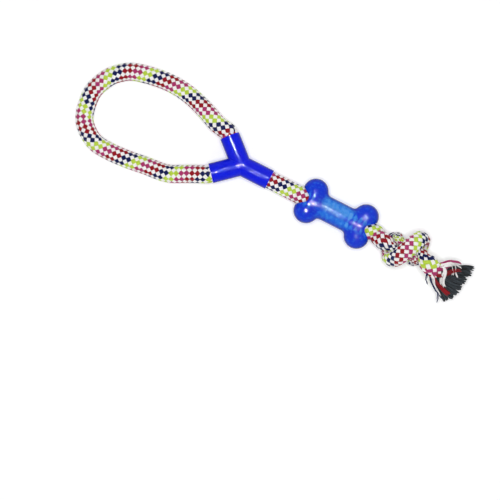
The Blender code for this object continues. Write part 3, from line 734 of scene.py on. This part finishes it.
def reckoned(tree, operation, *values, **settings):
    """The result of a Math node."""
    return add_node(tree, "ShaderNodeMath", enumerate(values), operation=operation, **settings).outputs[0]


def ranged(tree, value, low, high, start=0, end=1, steps="LINEAR"):
    """The result of a Map Range node, which takes low and high to start and end."""
    given = {0: value, 1: low, 2: high, 3: start, 4: end}
    return add_node(tree, "ShaderNodeMapRange", given, interpolation_type=steps).outputs[0]


def noise(tree, place, scale, detail, roughness=0.5):
    """The results of a Noise Texture node: first its level, then its colour."""
    given = {"Vector": place, "Scale": scale, "Detail": detail, "Roughness": roughness}
    return add_node(tree, "ShaderNodeTexNoise", given).outputs


def scaled(tree, vector, factor):
    """A vector or colour times a number."""
    return add_node(tree, "ShaderNodeVectorMath", {0: vector, "Scale": factor}, operation="SCALE").outputs[0]


def mixed(tree, share, first, second):
    """The first colour with a share of the second."""
    given = {"Factor": share, "A": first, "B": second}
    return add_node(tree, "ShaderNodeMix", given, data_type="RGBA").outputs["Result"]


def new_group(name, inputs, outputs):
    """An empty shader node group with named sockets."""
    group = bpy.data.node_groups.new(name, "ShaderNodeTree")
    for label, kind, value in inputs:
        socket = group.interface.new_socket(name=label, in_out="INPUT", socket_type=kind)
        socket.default_value = value
    for label, kind in outputs:
        group.interface.new_socket(name=label, in_out="OUTPUT", socket_type=kind)
    return group, group.nodes.new("NodeGroupInput"), group.nodes.new("NodeGroupOutput")


def new_material(name):
    material = bpy.data.materials.new(name)
    material.use_nodes = True
    tree = material.node_tree
    shader = next(node for node in tree.nodes if node.type == "BSDF_PRINCIPLED")
    return material, tree, shader


def yarn_lay_group():
    """Fine fibres that run along a strand, and slow changes of shade from strand to strand."""
    name = "yarn_lay"
    if name in bpy.data.node_groups:
        return bpy.data.node_groups[name]
    group, given, result = new_group(
        name,
        (
            ("Map", "NodeSocketVector", (0, 0, 0)),
            ("Colour", "NodeSocketColor", (1, 1, 1, 1)),
            ("Fibre Depth", "NodeSocketFloat", 0.35),
            ("Shade Change", "NodeSocketFloat", 0.15),
        ),
        (("Colour", "NodeSocketColor"), ("Height", "NodeSocketFloat"), ("Roughness", "NodeSocketFloat")),
    )
    fine, broad = (
        add_node(group, "ShaderNodeVectorMath", {0: given.outputs["Map"], 1: scale}, operation="MULTIPLY")
        for scale in (FIBRE_SCALE, SHADE_SCALE))
    fibres = noise(group, fine.outputs[0], 1, 3, roughness=0.6)[0]
    shades = noise(group, broad.outputs[0], 1, 2)[0]
    dark = reckoned(group, "MULTIPLY", ranged(group, fibres, 0.3, 0.7), given.outputs["Fibre Depth"])
    slow = reckoned(group, "MULTIPLY", shades, given.outputs["Shade Change"])
    level = reckoned(group, "SUBTRACT", FIBRE_TOP_SHARE, dark)
    level = reckoned(group, "SUBTRACT", level, slow, use_clamp=True)
    feed(group, result, {
        "Colour": scaled(group, given.outputs["Colour"], level),
        "Height": fibres,
        "Roughness": ranged(group, fibres, 0, 1, 0.62, 0.88),
    })
    return group


def yarn_finish(colour):
    """Soft polyester yarn of one colour, with its fibres along the strand."""
    name = colour + "_yarn"
    if name in bpy.data.materials:
        return bpy.data.materials[name]
    material, tree, shader = new_material(name)
    depth, change = YARN_SHADES.get(colour, OTHER_SHADES)
    spots = add_node(tree, "ShaderNodeUVMap", uv_map="along")
    own = (*getattr(bpy.context.scene.toy_rope, colour), 1)
    lay = add_node(
        tree, "ShaderNodeGroup",
        {"Map": spots.outputs[0], "Colour": own, "Fibre Depth": depth, "Shade Change": change},
        node_tree=yarn_lay_group()).outputs
    bump = add_node(
        tree, "ShaderNodeBump", {"Height": lay["Height"], "Strength": 0.5, "Distance": FIBRE_DEPTH})
    feed(tree, shader, {
        "Base Color": lay["Colour"], "Roughness": lay["Roughness"], "Normal": bump.outputs[0],
        "Specular IOR Level": 0.2, "Sheen Weight": 0.08, "Sheen Roughness": 0.5,
    })
    return material


def moulding_group():
    """Faint flow marks, fine grain and rubbing scratches of a moulded skin."""
    name = "moulded_skin"
    if name in bpy.data.node_groups:
        return bpy.data.node_groups[name]
    group, given, result = new_group(
        name,
        (
            ("Place", "NodeSocketVector", (0, 0, 0)),
            ("Roughness", "NodeSocketFloat", 0.2),
            ("Scratches", "NodeSocketFloat", 0.1),
            ("Ripple", "NodeSocketFloat", 1),
        ),
        (("Roughness", "NodeSocketFloat"), ("Height", "NodeSocketFloat"), ("Wear", "NodeSocketFloat")),
    )
    place = given.outputs["Place"]
    turned = add_node(
        group, "ShaderNodeMapping", {"Vector": place, "Rotation": SCRATCH_TURN, "Scale": SCRATCH_SCALE})
    scratch = ranged(group, noise(group, turned.outputs[0], 1, 4)[0], 0.62, 0.74)
    patch = ranged(group, noise(group, place, PATCH_SCALE, 3)[0], 0.45, 0.7)
    worn = reckoned(group, "MULTIPLY", scratch, patch)
    worn = reckoned(group, "MULTIPLY", worn, given.outputs["Scratches"])
    waves = reckoned(group, "MULTIPLY", noise(group, place, RIPPLE_SCALE, 2)[0], given.outputs["Ripple"])
    grain = reckoned(group, "MULTIPLY", noise(group, place, GRAIN_SCALE, 2)[0], GRAIN_SHARE)
    height = reckoned(group, "ADD", waves, grain)
    feed(group, result, {
        "Roughness": reckoned(group, "ADD", worn, given.outputs["Roughness"]),
        "Height": reckoned(group, "SUBTRACT", height, worn),
        "Wear": worn,
    })
    return group


def moulded(tree, shader, depth, roughness, scratches, ripple):
    """Gives a material the moulded skin's roughness and bump, and returns its wear."""
    place = add_node(tree, "ShaderNodeTexCoord")
    skin = add_node(
        tree, "ShaderNodeGroup",
        {"Place": place.outputs["Object"], "Roughness": roughness, "Scratches": scratches, "Ripple": ripple},
        node_tree=moulding_group()).outputs
    bump = add_node(tree, "ShaderNodeBump", {"Height": skin["Height"], "Strength": 0.6, "Distance": depth})
    feed(tree, shader, {"Roughness": skin["Roughness"], "Normal": bump.outputs[0]})
    return skin["Wear"]


def painted_edge_shade(tree, colour):
    """Painted shade: darkens a colour where the skin turns away from the view."""
    facing = add_node(tree, "ShaderNodeLayerWeight", {"Blend": 0.5}).outputs["Facing"]
    return scaled(tree, colour, ranged(tree, facing, SIDES_START, 1, 1, SIDES_SHADE, "SMOOTHSTEP"))


def sleeve_finish():
    """Glossy royal blue moulded plastic."""
    sleeve = bpy.context.scene.toy_sleeve
    material, tree, shader = new_material("sleeve_plastic")
    wear = moulded(tree, shader, depth=0.00003, roughness=sleeve.roughness, scratches=0.12, ripple=1)
    # Painted shade: the blue is darkened where the sleeve turns away from the view
    colour = painted_edge_shade(tree, mixed(tree, wear, (*sleeve.colour, 1), SCRATCHED_BLUE))
    feed(tree, shader, {"Base Color": colour, "IOR": 1.46, "Specular IOR Level": 0.12})
    return material


def seen_braid_group():
    """The braid's checks as they show through clear rubber, laid round the X axis: 1 white, -1 dark."""
    group, given, result = new_group(
        "seen_braid", (("Place", "NodeSocketVector", (0, 0, 0)),), (("Cells", "NodeSocketFloat"),))
    place = given.outputs["Place"]
    blur = noise(group, place, MOTTLE_SCALE, 3)["Color"]
    shaken = add_node(
        group, "ShaderNodeVectorMath", {0: blur, 1: CELL_BLUR, 2: place}, operation="MULTIPLY_ADD")
    along, side, up = add_node(group, "ShaderNodeSeparateXYZ", {0: shaken.outputs[0]}).outputs
    around = reckoned(group, "MULTIPLY", reckoned(group, "ARCTAN2", side, up), CARRIERS_EACH_WAY / 2)
    pitch = math.tau * CARRIERS_EACH_WAY / 2 / bpy.context.scene.toy_rope.lay_length
    waves = [reckoned(group, "MULTIPLY_ADD", along, hand * pitch, around) for hand in (1, -1)]
    both = reckoned(group, "MULTIPLY", *(reckoned(group, "SINE", wave) for wave in waves))
    feed(group, result, {"Cells": ranged(group, both, -CELL_EDGE, CELL_EDGE, -1, 1, "SMOOTHSTEP")})
    return group


def bone_finish(middle):
    """Blue chew rubber: deep blue in the lobes, paler and clearer over the thin shank; painted light in
    mottles, painted shade below and at its edges.
    """
    bone = bpy.context.scene.toy_bone
    material, tree, shader = new_material("bone_rubber")
    moulded(tree, shader, depth=0.00004, roughness=bone.roughness, scratches=0.2, ripple=1.5)
    place = add_node(tree, "ShaderNodeTexCoord").outputs["Object"]
    local = add_node(tree, "ShaderNodeMapping", {"Vector": place, "Location": -middle}).outputs[0]
    along, side, _ = add_node(tree, "ShaderNodeSeparateXYZ", {0: local}).outputs
    reach = reckoned(tree, "ABSOLUTE", along)
    sideways = reckoned(tree, "ABSOLUTE", side)
    starts, ends = (LOBE_SPACING / 2 - share * LOBE_RADIUS for share in THICK_SHARES)
    inner = ranged(tree, reach, starts, ends, steps="SMOOTHSTEP")
    starts, ends = (share * SHANK_RADIUS for share in THIN_SHARES)
    narrow = ranged(tree, sideways, starts, ends, steps="SMOOTHSTEP")
    # Painted shade: the rubber's colour deepens on its lower side
    upper = ranged(tree, side, -LOWER_EDGE, LOWER_EDGE, PAINTED_LOWER_SHADE, 1)
    thin = reckoned(tree, "MULTIPLY", inner, narrow)
    thin = reckoned(tree, "MULTIPLY", thin, upper)
    cells = add_node(tree, "ShaderNodeGroup", {"Place": local}, node_tree=seen_braid_group()).outputs[0]
    mouths = reckoned(tree, "ABSOLUTE", reckoned(tree, "SUBTRACT", along, CELLS_MIDDLE))
    mouths = ranged(tree, mouths, *CELLS_FROM_MIDDLE, steps="SMOOTHSTEP")
    mouths = reckoned(tree, "MULTIPLY", mouths, ranged(tree, sideways, *CELLS_HALF_WIDTH, steps="SMOOTHSTEP"))
    veil = reckoned(tree, "MULTIPLY", inner, SHANK_CELLS_SHARE)
    veil = reckoned(tree, "MULTIPLY_ADD", mouths, MOUTH_CELLS_SHARE, veil)
    thin = reckoned(tree, "MULTIPLY_ADD", cells, veil, thin)
    # Painted light: mottles of lighter and darker blue stand in for light refracted in the rubber
    painted_mottles = ranged(tree, noise(tree, place, MOTTLE_SCALE, 4)[0], 0.3, 0.7, -PAINTED_MOTTLE_SHARE, PAINTED_MOTTLE_SHARE)
    thin = reckoned(tree, "ADD", thin, painted_mottles)
    colour = mixed(tree, thin, (*bone.deep_colour, 1), (*bone.thin_colour, 1))
    colour = mixed(tree, ranged(tree, thin, 0.75, 1.5, 0, PALE_SHARE), colour, PALE_BLUE)
    # Painted shade: the rubber's colour is darkened where it turns away from the view
    feed(tree, shader, {
        "Base Color": painted_edge_shade(tree, colour), "Transmission Weight": bone.clearness, "IOR": 1.42,
        "Specular IOR Level": 0.08,
    })
    return material


def tape_finish():
    """Creased clear tape over the rope's cut end."""
    material, tree, shader = new_material("end_tape_film")
    moulded(tree, shader, depth=0.0002, roughness=0.35, scratches=0.4, ripple=3)
    feed(tree, shader, {"Base Color": TAPE_COLOUR})
    return material


# Sleeve and bone

def add_modifier(piece, name, kind, **settings):
    modifier = piece.modifiers.new(name, kind)
    for setting, value in settings.items():
        setattr(modifier, setting, value)


def sleeve_shape():
    """Three open arms cut on their mitres and joined, as one skin."""
    arms = (UPPER_ARM, LOWER_ARM, STEM_ARM)
    shape = bmesh.new()
    for arm in arms:
        bar = bmesh.new()
        bmesh.ops.create_cone(
            bar, cap_ends=False, segments=SLEEVE_SEGMENTS, radius1=SLEEVE_OUTER, radius2=SLEEVE_OUTER,
            depth=2 * SLEEVE_ARM)
        bmesh.ops.subdivide_edges(bar, edges=[e for e in bar.edges if not e.is_boundary], cuts=SLEEVE_RINGS)
        turn = Vector((0, 0, 1)).rotation_difference(arm)
        bmesh.ops.rotate(bar, cent=(0, 0, 0), matrix=turn.to_matrix(), verts=bar.verts)
        for other in arms:
            if other is not arm:
                bmesh.ops.bisect_plane(
                    bar, geom=bar.verts[:] + bar.edges[:] + bar.faces[:], dist=1e-7, plane_co=(0, 0, 0),
                    plane_no=arm - other, clear_inner=True)
        mesh = bpy.data.meshes.new("arm")
        bar.to_mesh(mesh)
        bar.free()
        shape.from_mesh(mesh)
        bpy.data.meshes.remove(mesh)
    bmesh.ops.remove_doubles(shape, verts=shape.verts, dist=2e-5)
    return shape


def y_sleeve():
    sleeve = bpy.context.scene.toy_sleeve
    shape = sleeve_shape()
    mitres = []
    for edge in shape.edges:
        normals = [face.normal for face in edge.link_faces]
        if len(normals) == 2 and normals[0].dot(normals[1]) < MITRE_COSINE:
            mitres.append(edge)
    bmesh.ops.bevel(
        shape, geom=mitres, offset=sleeve.mitre_fillet, offset_type="OFFSET", segments=3, profile=0.5,
        affect="EDGES", material=-1, clamp_overlap=True)
    bmesh.ops.translate(shape, vec=HUB + Vector((0, 0, AXIS_HEIGHT)), verts=shape.verts)
    piece = new_piece("moulded_y_sleeve", shape, sleeve_finish())
    add_modifier(piece, "wall", "SOLIDIFY", thickness=SLEEVE_WALL, offset=-1, use_even_offset=True)
    add_modifier(
        piece, "rims", "BEVEL", width=sleeve.rim_radius, segments=3, harden_normals=True,
        limit_method="ANGLE", angle_limit=math.radians(60))
    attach(piece, "stem")
    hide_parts("y_sleeve")
    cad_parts["end_tape"].data.materials.clear()
    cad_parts["end_tape"].data.materials.append(tape_finish())


def bone_bore():
    """A plug of the bore's shape, with a flare at each mouth, turned about the stem's line."""
    bore = ROPE_RADIUS + BORE_CLEARANCE
    flared = bore + MOUTH_FLARE
    mouth = LOBE_SPACING / 2 + LOBE_RADIUS / 2
    beyond = LOBE_SPACING / 2 + LOBE_RADIUS + ROPE_DIAMETER
    half = [(beyond, 0), (beyond, flared), (mouth, flared), (mouth - MOUTH_DEPTH, bore)]
    profile = [(-x, radius) for x, radius in half] + half[::-1]
    shape = bmesh.new()
    corners = [shape.verts.new((x, 0, radius)) for x, radius in profile]
    for a, b in zip(corners, corners[1:]):
        shape.edges.new((a, b))
    bmesh.ops.spin(
        shape, geom=shape.verts[:] + shape.edges[:], cent=(0, 0, 0), axis=(1, 0, 0), angle=math.tau,
        steps=96, use_merge=True)
    bmesh.ops.remove_doubles(shape, verts=shape.verts, dist=1e-6)
    bmesh.ops.recalc_face_normals(shape, faces=shape.faces)
    return shape


def chew_bone():
    bone = bpy.context.scene.toy_bone
    middle = HUB + Vector((BONE_PLACE, 0, AXIS_HEIGHT))
    shape = bmesh.new()
    for end in (-1, 1):
        for side in (-1, 1):
            lobe = bmesh.ops.create_uvsphere(shape, u_segments=48, v_segments=32, radius=LOBE_RADIUS)
            place = Vector((end * LOBE_SPACING / 2, side * LOBE_SPREAD / 2, 0))
            bmesh.ops.translate(shape, vec=place, verts=lobe["verts"])
    shank = bmesh.ops.create_cone(
        shape, cap_ends=True, segments=64, radius1=SHANK_RADIUS, radius2=SHANK_RADIUS,
        depth=LOBE_SPACING + LOBE_RADIUS / 2)
    turn = Vector((0, 0, 1)).rotation_difference(STEM_ARM)
    bmesh.ops.rotate(shape, cent=(0, 0, 0), matrix=turn.to_matrix(), verts=shank["verts"])
    bmesh.ops.translate(shape, vec=middle, verts=shape.verts)
    plug_shape = bone_bore()
    bmesh.ops.translate(plug_shape, vec=middle, verts=plug_shape.verts)
    finish = bone_finish(middle)
    piece = new_piece("rubber_chew_bone", shape, finish)
    plug = new_piece("bone_bore", plug_shape, finish)
    add_modifier(piece, "one_skin", "REMESH", mode="VOXEL", voxel_size=bone.skin_size)
    add_modifier(piece, "fillets", "SMOOTH", factor=0.5, iterations=bone.fillet_passes)
    add_modifier(piece, "bore", "BOOLEAN", operation="DIFFERENCE", object=plug)
    mesh = bpy.data.meshes.new_from_object(piece.evaluated_get(bpy.context.evaluated_depsgraph_get()))
    piece.modifiers.clear()
    piece.data = mesh
    bpy.data.objects.remove(plug)
    mesh.shade_smooth()
    mesh.set_sharp_from_angle(angle=math.radians(40))
    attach(piece, "bone")
    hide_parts("chew_bone")


# Tassel

def fan_spots(line, ways):
    """Places in the tassel, whose fan opens sideways and settles on the floor.

    A way's rows are its share of the tassel's length, and shares of the yarns' half width and height.
    """
    share, side, up = ways.T
    heading = line.heads[-1]
    flat = unit(heading * (1, 1, 0))
    sideways = np.array((-flat[1], flat[0], 0))
    turn = math.radians(TASSEL_TURN_DEG) * share
    towards = np.stack([
        heading[0] * np.cos(turn) - heading[1] * np.sin(turn),
        heading[0] * np.sin(turn) + heading[1] * np.cos(turn), np.full_like(share, heading[2])], axis=1)
    spots = line.places[-1] + towards * (TASSEL_LENGTH * share)[:, None]
    spots[:, 2] += (HUB.z + TASSEL_HEIGHT - spots[:, 2]) * eased(share)
    level = np.clip(UPRIGHT_RATE * share, 0, 1)[:, None]
    upwards = np.cross(heading, sideways) * (1 - level) + np.array((0, 0, 1)) * level
    spread = 1 + (TASSEL_SPREAD_SHARE - 1) * np.maximum(share, 0) ** TASSEL_OPENING_SHARE
    rise = 1 + (TASSEL_RISE_SHARE - 1) * share
    spots += (YARNS_RADIUS * side * spread)[:, None] * sideways
    return spots + (YARNS_RADIUS * up * rise)[:, None] * upwards


def yarn_length(side):
    """How far the core yarns reach, as a share of the tassel's length, from one side to the other."""
    length = YARN_LENGTH_SHARE - YARN_SLANT_SHARE * side
    for way, start, loss in FAN_CORNER_SHARES:
        length -= loss * eased((way * side - start) / (1 - start))
    return length


def add_thread(tubes, places, radii, shares, map_step, shift):
    """Adds a round thread with a thinner tip, which lies on the floor where it would sink in."""
    radii[-1] *= TIP_SHARE
    places[:, 2] = np.maximum(places[:, 2], radii)
    rings = round_rings(places, radii, tubes.sides)
    tubes.add(rings, np.arange(tubes.sides) * map_step, shares * TASSEL_LENGTH, shift)


def core_yarns(line):
    """The dark core yarns, fanned out in ragged clumps."""
    tassel = bpy.context.scene.toy_tassel
    chance = random.Random(tassel.seed)
    clumps = []
    for _ in range(tassel.clumps):
        turn = chance.uniform(0, math.tau)
        reach = math.sqrt(chance.random())
        clumps.append((reach * math.sin(turn), reach * math.cos(turn), chance.uniform(*CLUMP_LENGTH_SHARES)))
    tubes = Tubes(YARN_RINGS, YARN_SIDES)
    row_height = tassel.yarn_spacing * math.sqrt(3) / 2 / YARNS_RADIUS
    rows = int(1 / row_height)
    column_width = tassel.yarn_spacing / YARNS_RADIUS
    columns = int(1 / column_width) + 1
    count = 0
    for row in range(-rows, rows + 1):
        for column in range(-columns, columns + 1):
            x = (column + (0.5 if row % 2 else 0)) * column_width
            y = row * row_height
            if math.hypot(x, y) > 1:
                continue
            own = min(clumps, key=lambda clump: math.hypot(x - clump[0], y - clump[1]))
            length = own[2] * yarn_length(x) - YARN_RAG_SHARE * chance.random()
            shares = np.linspace(YARN_START_SHARE, length, YARN_RINGS)
            pull = CLUMP_SHARE * eased(shares / length)
            bulge = 1 + YARN_BULGE_SHARE * (x > 0) * np.sin(math.pi * np.clip(shares, 0, 1))
            ways = np.stack([shares, (x + (own[0] - x) * pull) * bulge, y + (own[1] - y) * pull], axis=1)
            bend = chance.uniform(-1, 1) * YARN_STRAY_SHARE
            ripple = chance.uniform(0, math.tau)
            ways[:, 1] += bend * np.sin(ripple + shares * chance.uniform(*YARN_WAVES)) * shares
            ways[:, 2] += bend * np.cos(ripple + shares * chance.uniform(*YARN_WAVES)) * shares
            swell = YARN_ROOT_SHARE + (1 - YARN_ROOT_SHARE) * eased(shares * 2)
            add_thread(
                tubes, fan_spots(line, ways), tassel.yarn_diameter / 2 * swell, shares, YARN_MAP_STEP,
                YARN_MAP_SHIFT * count)
            count += 1
    piece = tubes.piece("tassel_core_yarns", yarn_finish("core"))
    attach(piece, "tail")
    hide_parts("core_fringe")
    return piece


def loose_strands(line):
    """The jacket's strands, let out of the braid: each a flat bundle of fine threads."""
    tassel = bpy.context.scene.toy_tassel
    rope = bpy.context.scene.toy_rope
    chance = random.Random(tassel.seed + 1)
    bundles = {colour: Tubes(THREAD_RINGS, THREAD_SIDES) for colour in STRANDS_LET_OUT}
    evenly = np.linspace(0, 1, THREAD_RINGS)
    for i, (colour, threads, start, end, points) in enumerate(LOOSE_STRAND_SHARES):
        way = smooth_line(points, WAY_PARTS)
        width = rope.strand_width * (start + (end - start) * evenly)
        for thread in range(threads):
            steps = evenly * (len(way) - 1) * chance.uniform(*THREAD_LENGTH_SHARES)
            own = np.stack([np.interp(steps, range(len(way)), way[:, k]) for k in range(3)], axis=1)
            places = fan_spots(line, own)
            outward = unit(places - fan_spots(line, own * (1, 0, 0)))
            beside = unit(np.cross(np.gradient(places, axis=0), outward))
            rank = thread / (threads - 1) - 0.5
            waves = np.sin(chance.uniform(0, math.tau) + evenly * chance.uniform(*THREAD_WAVES))
            places += (rank * width + tassel.stray * waves * evenly)[:, None] * beside
            places += (chance.uniform(*THREAD_LIFT_SHARES) * tassel.stray * evenly)[:, None] * outward
            radii = np.maximum(width / threads * THREAD_WIDTH_SHARE, THREAD_RADIUS)
            shift = THREAD_MAP_SHIFT * thread + BUNDLE_MAP_SHIFT * i
            add_thread(bundles[colour], places, radii, evenly, THREAD_MAP_STEP, shift)
    pieces = []
    for colour, tubes in bundles.items():
        piece = tubes.piece(f"tassel_{colour}_strands", yarn_finish(colour))
        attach(piece, "tail")
        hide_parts(*(f"{colour}_strand_{k + 1}" for k in range(STRANDS_LET_OUT[colour])))
        pieces.append(piece)
    return pieces


# Studio

def camera_place(studio):
    """Where the camera is, over the middle of what it sees."""
    return Vector((HUB.x + PHOTO_CENTRE[0], HUB.y + PHOTO_CENTRE[1], studio.camera_height))


def seen_rays(tree):
    """1 on the rays that show the surround: to the camera, by reflection and through clear things."""
    path = add_node(tree, "ShaderNodeLightPath")
    seen = path.outputs["Is Camera Ray"]
    for kind in ("Is Glossy Ray", "Is Transmission Ray"):
        seen = reckoned(tree, "MAXIMUM", seen, path.outputs[kind])
    return seen


def studio_light():
    """A ring light round the camera, and an even white surround."""
    studio = bpy.context.scene.toy_studio
    shape = bmesh.new()
    bmesh.ops.create_circle(shape, cap_ends=False, segments=72, radius=studio.ring_radius)
    grown = bmesh.ops.extrude_edge_only(shape, edges=shape.edges[:])
    outer = [item for item in grown["geom"] if isinstance(item, bmesh.types.BMVert)]
    bmesh.ops.scale(shape, vec=(RING_OUTER_SHARE, RING_OUTER_SHARE, 1), verts=outer)
    bmesh.ops.translate(shape, vec=camera_place(studio), verts=shape.verts)
    material, tree, shader = new_material("ring_glow")
    mirrored = add_node(tree, "ShaderNodeLightPath").outputs["Is Glossy Ray"]
    glow = ranged(tree, mirrored, 0, 1, studio.ring_strength, studio.ring_strength * studio.gleam)
    feed(tree, shader, {"Base Color": (0, 0, 0, 1), "Emission Color": WHITE_LIGHT, "Emission Strength": glow})
    ring = new_piece("ring_light", shape, material)
    ring.visible_camera = False
    ring.visible_shadow = False
    world = bpy.data.worlds.new("white_surround")
    world.use_nodes = True
    bpy.context.scene.world = world
    tree = world.node_tree
    background = next(node for node in tree.nodes if node.type == "BACKGROUND")
    around = add_node(tree, "ShaderNodeTexCoord").outputs["Generated"]
    upward = add_node(tree, "ShaderNodeSeparateXYZ", {0: around}).outputs[2]
    level = ranged(tree, upward, 0, SKY_EDGE, studio.side_strength, studio.sky_strength, "SMOOTHSTEP")
    level = ranged(tree, seen_rays(tree), 0, 1, level, 1)
    feed(tree, background, {"Color": WHITE_LIGHT, "Strength": level})


def floor():
    """A plain white floor, lifted to white for the camera, that keeps the toy's shadow."""
    shape = bmesh.new()
    bmesh.ops.create_grid(shape, x_segments=2, y_segments=2, size=FLOOR_HALF_WIDTH)
    material, tree, shader = new_material("white_floor")
    place = add_node(tree, "ShaderNodeTexCoord").outputs["Object"]
    away = add_node(tree, "ShaderNodeVectorMath", {0: place}, operation="LENGTH").outputs["Value"]
    level = ranged(tree, away, *FLOOR_LIFT_REACH, *FLOOR_LIFT, "SMOOTHSTEP")
    feed(tree, shader, {
        "Base Color": FLOOR_COLOUR, "Roughness": 0.7, "Emission Color": WHITE_LIGHT,
        "Emission Strength": reckoned(tree, "MULTIPLY", seen_rays(tree), level),
    })
    new_piece("floor", shape, material)


def camera():
    studio = bpy.context.scene.toy_studio
    data = bpy.data.cameras.new("photo_camera")
    data.sensor_width = SENSOR_WIDTH
    data.lens = SENSOR_WIDTH * (studio.camera_height - AXIS_HEIGHT) / studio.view_width
    data.clip_end = 20
    seen_from = bpy.data.objects.new("photo_camera", data)
    seen_from.location = camera_place(studio)
    seen_from.rotation_euler = (0, 0, PHOTO_TURN)
    bpy.context.scene.collection.objects.link(seen_from)
    bpy.context.scene.camera = seen_from


# Operators, panel and registration

class TOY_OT_studio(bpy.types.Operator):
    """Set the white floor, the ring light and the camera over the toy"""

    bl_idname = "toy.studio"
    bl_label = "Studio"

    def execute(self, context):
        floor()
        studio_light()
        camera()
        context.scene.view_settings.view_transform = "Standard"
        return {"FINISHED"}


class TOY_OT_rope(bpy.types.Operator):
    """Braid the rope along its whole line and open its end into the tassel"""

    bl_idname = "toy.rope"
    bl_label = "Rope and Tassel"

    def execute(self, context):
        line = RopeLine()
        rope_end = braid(line, "rope_end", "end_tip", "upper_seam")
        loop = braid(line, "loop", "upper_seam", "lower_seam")
        stem = braid(line, "stem", "lower_seam", "tail_neck")
        tail = braid(line, "tail", "tail_neck", "tip")
        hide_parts("rope_end_jacket")
        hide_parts("rope_end_core")
        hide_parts("loop_jacket", "upper_neck_jacket", "lower_neck_jacket")
        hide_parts("loop_core", "upper_neck_core", "lower_neck_core")
        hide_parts("stem_jacket")
        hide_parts("stem_core")
        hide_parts("tail_jacket", "tail_neck_jacket")
        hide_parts("tail_core", "tail_neck_core")
        for piece in [*rope_end.values(), *stem.values()]:
            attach(piece, "stem")
        for piece in loop.values():
            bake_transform(piece)
        for piece in tail.values():
            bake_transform(piece)
        tassel = [core_yarns(line)] + loose_strands(line)
        line.length("upper_seam", "lower_seam")
        line.path("upper_seam", "lower_seam")
        line.length("lower_seam", "tail_neck")
        line.path("lower_seam", "tail_neck")
        return {"FINISHED"}


class TOY_OT_sleeve(bpy.types.Operator):
    """Mould the blue Y sleeve that closes the hand loop"""

    bl_idname = "toy.sleeve"
    bl_label = "Y Sleeve"

    def execute(self, context):
        y_sleeve()
        return {"FINISHED"}


class TOY_OT_bone(bpy.types.Operator):
    """Mould the clear rubber bone round the stem"""

    bl_idname = "toy.bone"
    bl_label = "Chew Bone"

    def execute(self, context):
        chew_bone()
        return {"FINISHED"}


class TOY_PT_panel(bpy.types.Panel):
    """The rope toy's pieces and their settings"""

    bl_idname = "TOY_PT_panel"
    bl_label = "Rope Toy"
    bl_space_type = "VIEW_3D"
    bl_region_type = "UI"
    bl_category = "Rope Toy"

    def draw(self, context):
        layout = self.layout
        scene = context.scene
        for title, operator, settings in (
            ("Studio", "toy.studio", (scene.toy_studio,)),
            ("Rope", "toy.rope", (scene.toy_rope, scene.toy_tassel)),
            ("Sleeve", "toy.sleeve", (scene.toy_sleeve,)),
            ("Bone", "toy.bone", (scene.toy_bone,)),
        ):
            box = layout.box()
            box.label(text=title)
            for group in settings:
                for name in group.__annotations__:
                    box.prop(group, name)
            box.operator(operator)


SETTINGS = {
    "toy_rope": RopeSettings,
    "toy_sleeve": SleeveSettings,
    "toy_bone": BoneSettings,
    "toy_tassel": TasselSettings,
    "toy_studio": StudioSettings,
}
CLASSES = (*SETTINGS.values(), TOY_OT_studio, TOY_OT_rope, TOY_OT_sleeve, TOY_OT_bone, TOY_PT_panel)


def register():
    for cls in CLASSES:
        bpy.utils.register_class(cls)
    for name, group in SETTINGS.items():
        setattr(bpy.types.Scene, name, PointerProperty(type=group))


def unregister():
    for name in SETTINGS:
        delattr(bpy.types.Scene, name)
    for cls in reversed(CLASSES):
        bpy.utils.unregister_class(cls)


def main():
    register()
    bpy.ops.toy.studio()
    bpy.ops.toy.rope()
    bpy.ops.toy.sleeve()
    bpy.ops.toy.bone()


if __name__ == "__main__":
    main()
